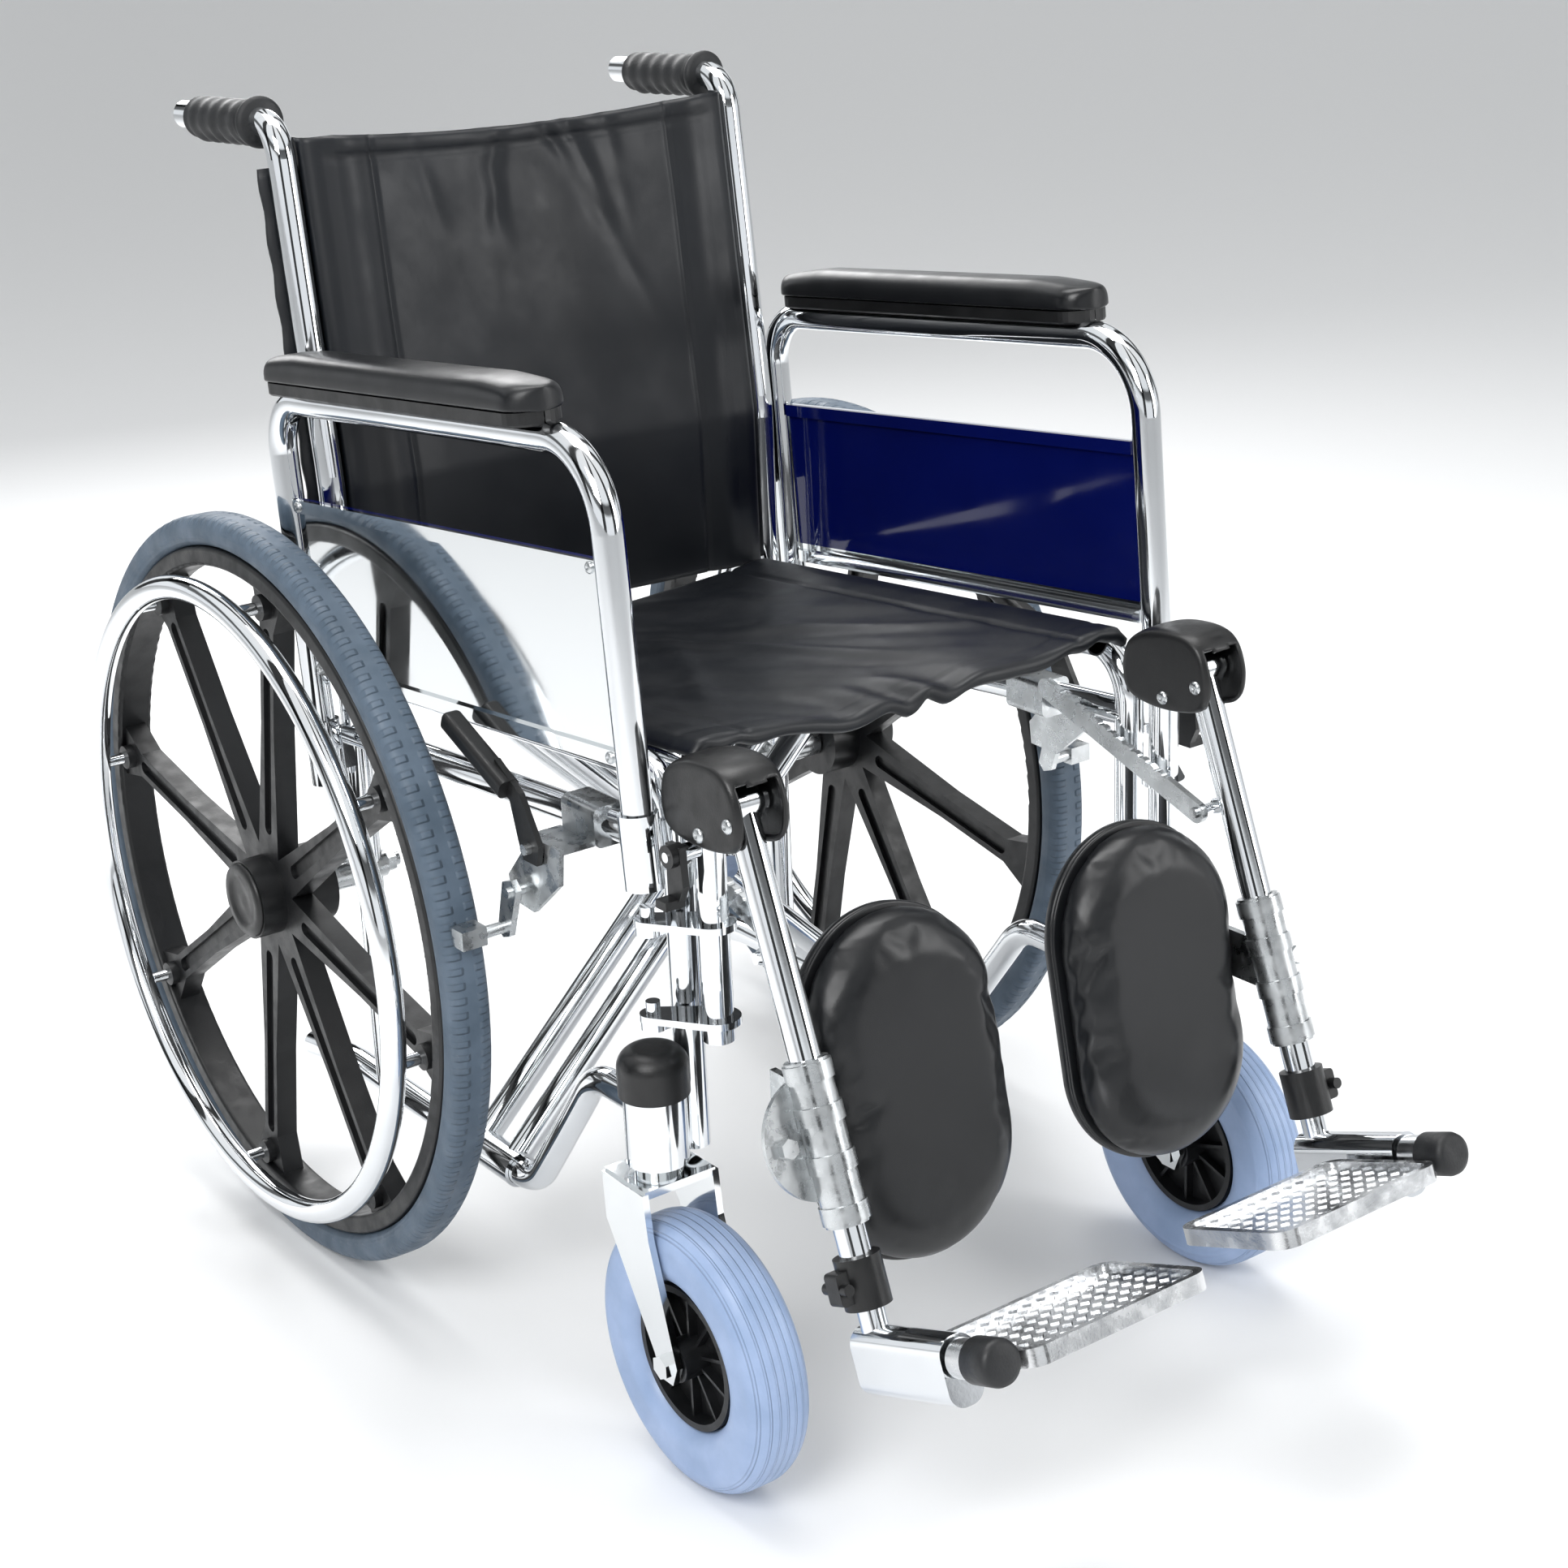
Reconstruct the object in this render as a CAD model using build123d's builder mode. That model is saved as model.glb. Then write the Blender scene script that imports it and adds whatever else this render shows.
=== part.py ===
"""Folding manual wheelchair with elevating legrests, in millimetres.

The chair stands on z = 0 and faces -Y. +X is the occupant's left. Every sub-part that
comes in pairs is modelled once, on the left side (x > 0), and mirrored for the right side.
"""

import os
from math import cos, radians, sin, sqrt

from build123d import *

os.makedirs("parts", exist_ok=True)

# ---------------------------------------------------------------- driving dimensions
GAP = 0.3                    # play between curved faces on different bodies
FIT = 0.05                   # running fit of an axle or pin, on the radius

TUBE = 11.0                  # outer radius of the frame tubes
WALL = 1.5                   # wall of every tube
FRAME_X = 206.0              # centre line of each side frame
AXLE_Y = 250.0               # rear axle and rear post
POST_Y = -208.0              # front post
RAIL_SLOPE = 0.072           # rails rise this much per mm towards the front
RAIL_Z = 489.5               # top rail's height at y = 0
RAIL_DROP = 52.0             # from the top rail down to the middle rail
LOWER_Z = 110.0              # lower side tube
POST_FOOT_Z = 232.0          # bottom of the front post
CANE_BEND_Z = 620.0          # where the back canes start to lean
CANE_TOP = (0, 282.0, 895.0)
GRIP_END_Y = 446.0
GRIP_START_Y = 306.0
GRIP_RADIUS = 16.0

WHEEL_RADIUS = 305.0
AXLE_Z = WHEEL_RADIUS
WHEEL_X = 287.0
TYRE_WIDTH = 34.0
TYRE_DEPTH = 24.0
RIM_DEPTH = 15.0
SPOKES = 8
SPOKE_PHASE = 12.0           # turn of the first spoke from +Y, in degrees
HUB_RADIUS = 32.0
HUB_INNER_X = 250.0
HUB_OUTER_X = 316.0
AXLE_RADIUS = 6.0
HANDRIM_X = 326.0
HANDRIM_RADIUS = 254.0
HANDRIM_TUBE = 9.5

CASTER_RADIUS = 100.0
CASTER_X = 238.0
CASTER_WIDTH = 48.0
CASTER_HUB_RADIUS = 53.0
CASTER_TRAIL = 43.0
STEM_Y = -210.0
STEM_RADIUS = 8.0
HOUSING_RADIUS = 22.0
HOUSING_Z = (231.0, 282.0)
CAP_RADIUS = 25.0
CAP_TOP_Z = 316.0
CROWN_Z = (206.0, 229.0)

ARM_X = 236.0                # armrest tubes, outside the side frame
ARM_FOOT = (POST_Y, 484.0)   # y, z of the mouth of the front armrest socket
ARM_TILT = 4.5               # the armrest leans back with the rails, in degrees
ARM_LENGTH = 458.0           # between its two posts
ARM_HEIGHT = 245.0           # from the socket mouth to the top rail
SOCKET_DEPTH = 52.0
PAD_SPAN = (50.0, 432.0)     # arm pad, measured back from the front post
PAD_WIDTH = 46.0
PAD_X = 241.0                # the pad overhangs its tube outwards, to clear the back cane
PAD_HEIGHT = 36.0
SKIRT_SPAN = (14.0, 444.0)
SKIRT_HEIGHTS = (31.0, 168.0)

SWING_AXIS = (ARM_X, -212.0)  # x, y of the legrest's swing-away pins
HINGE_ZS = (330.0, 399.0)     # undersides of the two hinge lugs
HANGER_Y = -245.0             # hanger tube, in front of the front post
KNEE = (-282.0, 503.0)        # y, z of the elevating legrest's pivot
LEG_ANGLE = 20.8              # the leg leans forward this much from vertical
LEG_LENGTH = 331.0            # from the pivot down to the end of the upper tube
FOOT_DROP = 364.0             # from the pivot down to the footplate's hinge line
CALF_DROP = 222.0             # from the pivot down to the middle of the calf pad
CALF_CENTRE = (112.5, -334.0, 293.0)
CALF_TILT = 11.0
CALF_SIZE = (161.0, 250.0, 44.0)
PLATE_X = (33.0, 188.0)
PLATE_SPAN = (27.0, 134.0)    # footplate, measured forward of the leg
BAR_DOWN = 101.0             # where the elevation bar's lug leaves the leg, from the pivot
FOOT_INSERT = 120.0          # length of foot tube inside the leg
HOOD_HALF = 20.5             # half width of the knee cover, which is round on top
EAR_IN = 12.0                # the hanger's two ears stand this far either side of the leg's eye
EAR_OUT = 17.0
LEVER_PIVOT = (-245.0, 464.0)    # y, z of the swing-away release, outside the hanger tube
LEVER_X = 229.0              # the release lever's inner face
BAR_PIN = (-300.0, 402.0)     # y, z of the elevation bar's pin on the leg
BAR_X = 187.0
BAR_ANGLE = 19.4
BAR_LENGTH = 172.0

RAIL_LIFT = 6.5               # seat rails lie this much above the top rails
SEAT_RAIL_X = 183.0
SEAT_RAIL_SPAN = (-198.0, 228.0)
SADDLE_YS = (-128.0, 166.0)   # the blocks the seat rails drop into
SLEEVE_SPAN = (41.0, 137.0)   # hinge sleeve round the lower side tube
BAR_YS = (53.0, 101.0)        # the two bars of cross member a; b's lie behind them
BAR_PITCH = 24.0
PIVOT_Z = 311.2              # centre bolt of the cross braces
SEAT_THICKNESS = 5.0
SEAT_SPAN = (-214.0, 226.0)
SEAT_HALF = 196.0
BACK_SPAN_Z = (487.0, 884.0)
BACK_THICKNESS = 6.0
BACK_HEM_LOW_Z = 545.0
BACK_HALF = 193.0            # the front sheet stops at the inner side of each cane
FLAP_HALF = 221.0            # the hem screwed down behind each cane
FLAP_TOP_Z = 862.0
HEM_DEPTH = 32.0             # from the front sheet's face back to the hem's

BRAKE_X = 254.0
BRAKE_PIVOT = (-92.0, 430.0)
SHOE_PIVOT = (-70.0, 392.0)
SHOE_CENTRE = (-60.0, 363.0)


# ---------------------------------------------------------------- shared geometry
def rail_z(y):
    """Height of the top rail's centre line."""
    return RAIL_Z - RAIL_SLOPE * y


def arm_point(along, height, x=ARM_X):
    """A point in the armrest's own tilted frame: back along its rail and up its posts."""
    turn = radians(ARM_TILT)
    y = ARM_FOOT[0] + along * cos(turn) + height * sin(turn)
    z = ARM_FOOT[1] - along * sin(turn) + height * cos(turn)
    return (x, y, z)


def leg_point(down, forward=0.0, x=FRAME_X):
    """A point in the leg's own frame: down the leg from its pivot and forward of it."""
    turn = radians(LEG_ANGLE)
    y = KNEE[0] - down * sin(turn) - forward * cos(turn)
    z = KNEE[1] - down * cos(turn) + forward * sin(turn)
    return (x, y, z)


LEG_DOWN = (0, -sin(radians(LEG_ANGLE)), -cos(radians(LEG_ANGLE)))
LEG_FORWARD = (0, -cos(radians(LEG_ANGLE)), sin(radians(LEG_ANGLE)))
ARM_UP = (0, sin(radians(ARM_TILT)), cos(radians(ARM_TILT)))
ARM_BACK = (0, cos(radians(ARM_TILT)), -sin(radians(ARM_TILT)))


def add_tube(points, bend, radius, mode=Mode.ADD):
    """Sweeps a round bar along a bent centre line, in the part being built."""
    with BuildLine() as route:
        if len(points) == 2:
            Line(*points)
        else:
            FilletPolyline(*points, radius=bend)
    with BuildSketch(Plane(origin=route.line @ 0, z_dir=route.line % 0)) as section:
        Circle(radius)
    sweep(sections=section.sketch, path=route.line, mode=mode)


def add_tubes(tubes, radius=TUBE):
    """Joins several tubes and then hollows them, so that their bores run into each other."""
    for points, bend in tubes:
        add_tube(points, bend, radius)
    for points, bend in tubes:
        add_tube(points, bend, radius - WALL, Mode.SUBTRACT)


def add_rod(start, end, radius, mode=Mode.ADD):
    """A straight round bar from one point to another."""
    reach = Vector(*end) - Vector(*start)
    with BuildSketch(Plane(origin=start, z_dir=reach)) as section:
        Circle(radius)
    extrude(section.sketch, amount=reach.length, mode=mode)


def add_box(low, high, mode=Mode.ADD):
    """A block between two opposite corners."""
    size = [b - a for a, b in zip(low, high)]
    centre = [(a + b) / 2 for a, b in zip(low, high)]
    with Locations(tuple(centre)):
        Box(*size, mode=mode)


def add_slab(plane, width, height, depth, corner=0.0, mode=Mode.ADD):
    """A plate centred on a plane, with rounded corners, extruded both ways."""
    with BuildSketch(plane) as outline:
        if corner:
            RectangleRounded(width, height, corner)
        else:
            Rectangle(width, height)
    extrude(outline.sketch, amount=depth / 2, both=True, mode=mode)


def add_side_outline(points, x_low, x_high, mode=Mode.ADD):
    """A plate cut to a y-z outline, between two x positions."""
    with BuildSketch(Plane(origin=(x_low, 0, 0), x_dir=(0, 1, 0), z_dir=(1, 0, 0))) as outline:
        with BuildLine():
            Polyline(*points, close=True)
        make_face()
    extrude(outline.sketch, amount=x_high - x_low, mode=mode)


def wheel_plane(x, y, z):
    """The plane that holds half of a wheel's cross-section: local x along the axle."""
    return Plane(origin=(x, y, z), x_dir=(1, 0, 0), z_dir=(0, -1, 0))


def write_pair(part, name):
    """Writes a left-hand piece and its mirror image."""
    for side, piece in (("left", part), ("right", mirror(part, about=Plane.YZ))):
        piece.label = f"{name}_{side}"
        export_step(piece, f"parts/{name}_{side}.step")


def write_one(part, name):
    """Writes a piece that the chair has once."""
    part.label = name
    export_step(part, f"parts/{name}.step")


TOP_TUBE = [
    (FRAME_X, AXLE_Y, rail_z(AXLE_Y)),
    (FRAME_X, POST_Y, rail_z(POST_Y)),
    (FRAME_X, POST_Y, POST_FOOT_Z),
]
MIDDLE_TUBE = [(FRAME_X, AXLE_Y, rail_z(AXLE_Y) - RAIL_DROP), (FRAME_X, POST_Y, rail_z(POST_Y) - RAIL_DROP)]
LOWER_TUBE = [
    (FRAME_X, 388, 97),
    (FRAME_X, 310, LOWER_Z),
    (FRAME_X, 15, LOWER_Z),
    (FRAME_X, -84, 238),
    (FRAME_X, POST_Y, 238),
]
CANE = [
    (FRAME_X, AXLE_Y, LOWER_Z + 2),
    (FRAME_X, AXLE_Y, CANE_BEND_Z),
    (FRAME_X, CANE_TOP[1], CANE_TOP[2]),
    (FRAME_X, GRIP_END_Y - 6, CANE_TOP[2] - 3),
]
CANE_BENDS = [150, 30]


# ---------------------------------------------------------------- side frames
def make_side_frame():
    """Bent tubes with the caster housing, the swing-away lugs and the armrest sockets."""
    with BuildPart() as side_frame:
        add_tubes([(TOP_TUBE, 40), (MIDDLE_TUBE, 0), (LOWER_TUBE, [120, 45, 42])])
        add_rod((CASTER_X, STEM_Y, HOUSING_Z[0]), (CASTER_X, STEM_Y, HOUSING_Z[1]), HOUSING_RADIUS)
        add_rod((FRAME_X, POST_Y, POST_FOOT_Z), (FRAME_X, POST_Y, POST_FOOT_Z + 3), TUBE)
        for z in HINGE_ZS:
            add_box((FRAME_X + 9, SWING_AXIS[1] - 8, z), (SWING_AXIS[0], SWING_AXIS[1] + 8, z + 6))
            add_rod((*SWING_AXIS, z), (*SWING_AXIS, z + 6), 9)
            add_rod((*SWING_AXIS, z), (*SWING_AXIS, z + 20), 5)
        for along, top in ((0, 0), (ARM_LENGTH, -10)):
            add_rod(arm_point(along, top - SOCKET_DEPTH), arm_point(along, top), 14)
            web = arm_point(along, top - SOCKET_DEPTH / 2, FRAME_X + 15)
            add_slab(Plane(origin=web, x_dir=(1, 0, 0), z_dir=ARM_BACK), 20, 34, 8)
        for along, top in ((0, 0), (ARM_LENGTH, -10)):
            floor, mouth = arm_point(along, top - SOCKET_DEPTH + 4), arm_point(along, top + 5)
            add_rod(floor, mouth, TUBE + GAP, Mode.SUBTRACT)
        stem_top = HOUSING_Z[1] + 9
        add_rod((CASTER_X, STEM_Y, 220), (CASTER_X, STEM_Y, stem_top), STEM_RADIUS + FIT, Mode.SUBTRACT)
        add_rod((FRAME_X, AXLE_Y, 130), (FRAME_X, AXLE_Y, 600), TUBE, Mode.SUBTRACT)
    return side_frame.part


def make_back_cane():
    """The rear post, which leans back above the armrest and turns into the push handle."""
    with BuildPart() as cane:
        add_tubes([(CANE, CANE_BENDS)])
        add_rod((FRAME_X, AXLE_Y - 60, LOWER_Z), (FRAME_X, AXLE_Y + 60, LOWER_Z), TUBE, Mode.SUBTRACT)
        axle_hole = [(FRAME_X + side, AXLE_Y, AXLE_Z) for side in (-30, 30)]
        add_rod(*axle_hole, AXLE_RADIUS, Mode.SUBTRACT)
    return cane.part


def make_push_grip():
    """A hand grip with a front flange and finger hollows underneath."""
    start = (FRAME_X, GRIP_START_Y, CANE_TOP[2] - 0.5)
    flange_end = (FRAME_X, GRIP_START_Y + 7, CANE_TOP[2] - 0.6)
    end_z = CANE_TOP[2] - 3
    with BuildPart() as grip:
        add_rod(start, (FRAME_X, GRIP_END_Y, end_z), GRIP_RADIUS)
        add_rod(start, flange_end, 20)
        for count in range(4):
            y = GRIP_START_Y + 32 + count * 28
            add_rod((FRAME_X - 30, y, end_z - 28), (FRAME_X + 30, y, end_z - 28), 15, Mode.SUBTRACT)
        fillet(grip.edges().filter_by(GeomType.CIRCLE).sort_by(Axis.Y)[-1], 5)
        add_tube(CANE[1:], CANE_BENDS[1], TUBE, Mode.SUBTRACT)
    return grip.part


def make_seat_saddles():
    """Two moulded blocks on the top rail, which the seat rail drops into when the chair is open."""
    with BuildPart() as saddles:
        for y in SADDLE_YS:
            low, high = rail_z(y) - 11, rail_z(y) + RAIL_LIFT
            add_box((SEAT_RAIL_X - 15, y - 17, low), (FRAME_X, y + 17, high))
        add_tube(TOP_TUBE[:2], 0, TUBE, Mode.SUBTRACT)
        seat_rail = [(SEAT_RAIL_X, y, rail_z(y) + RAIL_LIFT) for y in (-200, 200)]
        add_rod(*seat_rail, TUBE + GAP, Mode.SUBTRACT)
    return saddles.part


# ---------------------------------------------------------------- rear wheels
def make_rear_axle():
    """Axle bolt through the rear post, with its spacer, inner nut and washer."""
    with BuildPart() as axle:
        add_rod((FRAME_X - 26, AXLE_Y, AXLE_Z), (HUB_OUTER_X - 10, AXLE_Y, AXLE_Z), AXLE_RADIUS)
        add_rod((FRAME_X, AXLE_Y, AXLE_Z), (HUB_INNER_X - 1.5, AXLE_Y, AXLE_Z), 13)
        with BuildSketch(Plane(origin=(FRAME_X - 21, AXLE_Y, AXLE_Z), z_dir=(1, 0, 0))) as nut:
            RegularPolygon(10, 6)
        extrude(nut.sketch, amount=9)
        add_rod((FRAME_X - 12.5, AXLE_Y, AXLE_Z), (FRAME_X, AXLE_Y, AXLE_Z), 12)
        add_rod((FRAME_X, AXLE_Y, AXLE_Z - 40), (FRAME_X, AXLE_Y, AXLE_Z + 40), TUBE, Mode.SUBTRACT)
        add_rod((FRAME_X - 20, AXLE_Y, AXLE_Z), (FRAME_X + 20, AXLE_Y, AXLE_Z), AXLE_RADIUS)
    return axle.part


def make_rear_tyre():
    """Solid tyre: a rounded section turned round the axle."""
    with BuildPart() as tyre:
        with BuildSketch(wheel_plane(WHEEL_X, AXLE_Y, AXLE_Z)):
            with Locations((0, WHEEL_RADIUS - TYRE_DEPTH / 2)):
                RectangleRounded(TYRE_WIDTH, TYRE_DEPTH, 10)
        revolve(axis=Axis((WHEEL_X, AXLE_Y, AXLE_Z), (1, 0, 0)))
    return tyre.part


def spoke_angles():
    """Turn of each spoke about the axle, from +Y."""
    return [SPOKE_PHASE + 360 * count / SPOKES for count in range(SPOKES)]


SPOKE_EDGE = [(20, 17), (150, 10.5), (235, 11), (268, 24)]
SPOKE_OUTLINE = SPOKE_EDGE + [(reach, -half) for reach, half in reversed(SPOKE_EDGE)]


def make_mag_wheel():
    """Moulded wheel: hub barrel, tapered spokes, rim, and a boss for each handrim stud."""
    rim_outer = WHEEL_RADIUS - TYRE_DEPTH
    centre = (WHEEL_X, AXLE_Y, AXLE_Z)
    with BuildPart() as wheel:
        with BuildSketch(wheel_plane(*centre)):
            with Locations((0, rim_outer - RIM_DEPTH / 2)):
                RectangleRounded(TYRE_WIDTH - 4, RIM_DEPTH, 3)
        revolve(axis=Axis(centre, (1, 0, 0)))
        add_rod((HUB_INNER_X, AXLE_Y, AXLE_Z), (HUB_OUTER_X, AXLE_Y, AXLE_Z), HUB_RADIUS)
        with BuildSketch(Plane(origin=centre, x_dir=(0, 1, 0), z_dir=(1, 0, 0))) as spokes:
            with PolarLocations(0, SPOKES, SPOKE_PHASE):
                Polygon(*SPOKE_OUTLINE, align=None)
        extrude(spokes.sketch, amount=9, both=True)
        for side in (-1, 1):
            face = Plane(origin=(WHEEL_X + side * 9, AXLE_Y, AXLE_Z), x_dir=(0, 1, 0), z_dir=(1, 0, 0))
            with BuildSketch(face) as grooves:
                with PolarLocations(145, SPOKES, SPOKE_PHASE):
                    SlotOverall(180, 11)
            extrude(grooves.sketch, amount=-4 * side, mode=Mode.SUBTRACT)
        for angle in spoke_angles():
            boss = (HANDRIM_RADIUS * cos(radians(angle)), HANDRIM_RADIUS * sin(radians(angle)))
            start = (WHEEL_X, AXLE_Y + boss[0], AXLE_Z + boss[1])
            add_rod(start, (WHEEL_X + 16, start[1], start[2]), 10)
        bore = [(x, AXLE_Y, AXLE_Z) for x in (HUB_INNER_X - 5, HUB_OUTER_X - 8)]
        add_rod(*bore, AXLE_RADIUS + FIT, Mode.SUBTRACT)
    return wheel.part


def make_handrim():
    """Chrome hoop with a stud to each boss of the wheel."""
    with BuildPart() as handrim:
        with BuildSketch(wheel_plane(HANDRIM_X, AXLE_Y, AXLE_Z)):
            with Locations((0, HANDRIM_RADIUS)):
                Circle(HANDRIM_TUBE)
                Circle(HANDRIM_TUBE - WALL, mode=Mode.SUBTRACT)
        revolve(axis=Axis((HANDRIM_X, AXLE_Y, AXLE_Z), (1, 0, 0)))
        for angle in spoke_angles():
            y = AXLE_Y + HANDRIM_RADIUS * cos(radians(angle))
            z = AXLE_Z + HANDRIM_RADIUS * sin(radians(angle))
            add_rod((WHEEL_X + 16, y, z), (HANDRIM_X - HANDRIM_TUBE + 1, y, z), 5)
    return handrim.part


# ---------------------------------------------------------------- casters
CASTER_AXLE = (CASTER_X, STEM_Y - CASTER_TRAIL, CASTER_RADIUS)


def make_stem_cap():
    """Moulded dome over the top of the caster stem."""
    with BuildPart() as cap:
        add_rod((CASTER_X, STEM_Y, HOUSING_Z[1]), (CASTER_X, STEM_Y, CAP_TOP_Z), CAP_RADIUS)
        fillet(cap.edges().filter_by(GeomType.CIRCLE).sort_by(Axis.Z)[-1], 14)
        stem_top = HOUSING_Z[1] + 12
        add_rod((CASTER_X, STEM_Y, 270), (CASTER_X, STEM_Y, stem_top), STEM_RADIUS + 3, Mode.SUBTRACT)
        add_rod((FRAME_X, POST_Y, 260), (FRAME_X, POST_Y, 330), TUBE, Mode.SUBTRACT)
    return cap.part


def make_caster_fork():
    """Crown, two swept-forward blades, stem and wheel bolt."""
    blade = CASTER_WIDTH / 2 + 5
    hub_y, hub_z = CASTER_AXLE[1:]
    outline = [
        (STEM_Y + 24, CROWN_Z[1] - 6),
        (STEM_Y - 26, CROWN_Z[1] - 6),
        (STEM_Y - 30, CROWN_Z[0] - 16),
        (hub_y - 13, hub_z + 2),
        (hub_y - 7, hub_z - 13),
        (hub_y + 7, hub_z - 13),
        (hub_y + 14, hub_z + 4),
        (STEM_Y + 22, CROWN_Z[0] - 18),
    ]
    with BuildPart() as fork:
        for side in (-1, 1):
            x = CASTER_X + side * blade
            add_side_outline(outline, x - 2.5, x + 2.5)
        crown_low, crown_high = CROWN_Z[1] - 10, CROWN_Z[1] - 4
        add_box((CASTER_X - blade, STEM_Y - 26, crown_low), (CASTER_X + blade, STEM_Y + 24, crown_high))
        add_rod((CASTER_X, STEM_Y, CROWN_Z[1] - 6), (CASTER_X, STEM_Y, HOUSING_Z[0] - 0.4), 17)
        add_rod((CASTER_X, STEM_Y, CROWN_Z[1] - 6), (CASTER_X, STEM_Y, HOUSING_Z[1] + 8), STEM_RADIUS)
        add_rod((CASTER_X - blade - 8, hub_y, hub_z), (CASTER_X + blade + 8, hub_y, hub_z), 5)
        for side in (-1, 1):
            start = (CASTER_X + side * (blade + 2), hub_y, hub_z)
            with BuildSketch(Plane(origin=start, z_dir=(side, 0, 0))) as nut:
                RegularPolygon(9, 6)
            extrude(nut.sketch, amount=6)
    return fork.part


def make_caster_tyre():
    """Broad rounded tyre."""
    depth = CASTER_RADIUS - CASTER_HUB_RADIUS
    with BuildPart() as tyre:
        with BuildSketch(wheel_plane(*CASTER_AXLE)):
            with Locations((0, CASTER_RADIUS - depth / 2)):
                RectangleRounded(CASTER_WIDTH, depth, 17)
        revolve(axis=Axis(CASTER_AXLE, (1, 0, 0)))
        near, far = (CASTER_X - 40, *CASTER_AXLE[1:]), (CASTER_X + 40, *CASTER_AXLE[1:])
        add_rod(near, far, CASTER_HUB_RADIUS, Mode.SUBTRACT)
    return tyre.part


def make_caster_hub():
    """Moulded hub: bearing barrel, web, outer ring and thin radial ribs."""
    with BuildPart() as hub:
        with BuildSketch(Plane(origin=CASTER_AXLE, z_dir=(1, 0, 0))) as ring:
            Circle(CASTER_HUB_RADIUS)
            Circle(CASTER_HUB_RADIUS - 5, mode=Mode.SUBTRACT)
        extrude(ring.sketch, amount=17, both=True)
        with BuildSketch(Plane(origin=CASTER_AXLE, z_dir=(1, 0, 0))) as web:
            Circle(CASTER_HUB_RADIUS - 4)
        extrude(web.sketch, amount=5, both=True)
        with BuildSketch(Plane(origin=CASTER_AXLE, z_dir=(1, 0, 0))) as ribs:
            with PolarLocations(CASTER_HUB_RADIUS / 2, 10):
                Rectangle(CASTER_HUB_RADIUS - 6, 2.4)
        extrude(ribs.sketch, amount=12, both=True)
        add_rod((CASTER_X - 25, *CASTER_AXLE[1:]), (CASTER_X + 25, *CASTER_AXLE[1:]), 15)
        near, far = (CASTER_X - 40, *CASTER_AXLE[1:]), (CASTER_X + 40, *CASTER_AXLE[1:])
        add_rod(near, far, 5 + FIT, Mode.SUBTRACT)
    return hub.part


# ---------------------------------------------------------------- armrests
def make_armrest_frame():
    """One bent tube whose two ends stand in the sockets."""
    foot = 4 - SOCKET_DEPTH
    route = [
        arm_point(0, foot),
        arm_point(0, ARM_HEIGHT),
        arm_point(ARM_LENGTH, ARM_HEIGHT),
        arm_point(ARM_LENGTH, foot - 6),
    ]
    with BuildPart() as armrest:
        add_tubes([(route, [58, 42])])
    return armrest.part


def make_arm_pad():
    """Long padded armrest with rounded ends, cupped over the top rail."""
    middle = sum(PAD_SPAN) / 2
    plane = Plane(origin=arm_point(middle, ARM_HEIGHT + 5, PAD_X), x_dir=ARM_BACK, z_dir=ARM_UP)
    with BuildPart() as pad:
        with BuildSketch(plane) as outline:
            RectangleRounded(PAD_SPAN[1] - PAD_SPAN[0], PAD_WIDTH, 16)
        extrude(outline.sketch, amount=PAD_HEIGHT)
        fillet(pad.faces().sort_by(Axis.Z)[-1].edges(), 9)
        add_rod(arm_point(0, ARM_HEIGHT), arm_point(ARM_LENGTH, ARM_HEIGHT), TUBE, Mode.SUBTRACT)
    return pad.part


def make_skirt_panel():
    """Side panel with a folded strip along its top and its bottom, between the posts."""
    low, high = SKIRT_HEIGHTS
    middle = (SKIRT_SPAN[0] + SKIRT_SPAN[1]) / 2
    length = SKIRT_SPAN[1] - SKIRT_SPAN[0]
    with BuildPart() as skirt:
        panel = Plane(origin=arm_point(middle, (low + high) / 2), x_dir=ARM_BACK, z_dir=(1, 0, 0))
        add_slab(panel, length, high - low, 2)
        for height in (low + 4, high - 5):
            strip = Plane(origin=arm_point(middle, height), x_dir=ARM_BACK, z_dir=(1, 0, 0))
            add_slab(strip, length, 10, 8)
        for along in (0, ARM_LENGTH):
            add_rod(arm_point(along, -60), arm_point(along, 200), TUBE, Mode.SUBTRACT)
    return skirt.part


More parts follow.
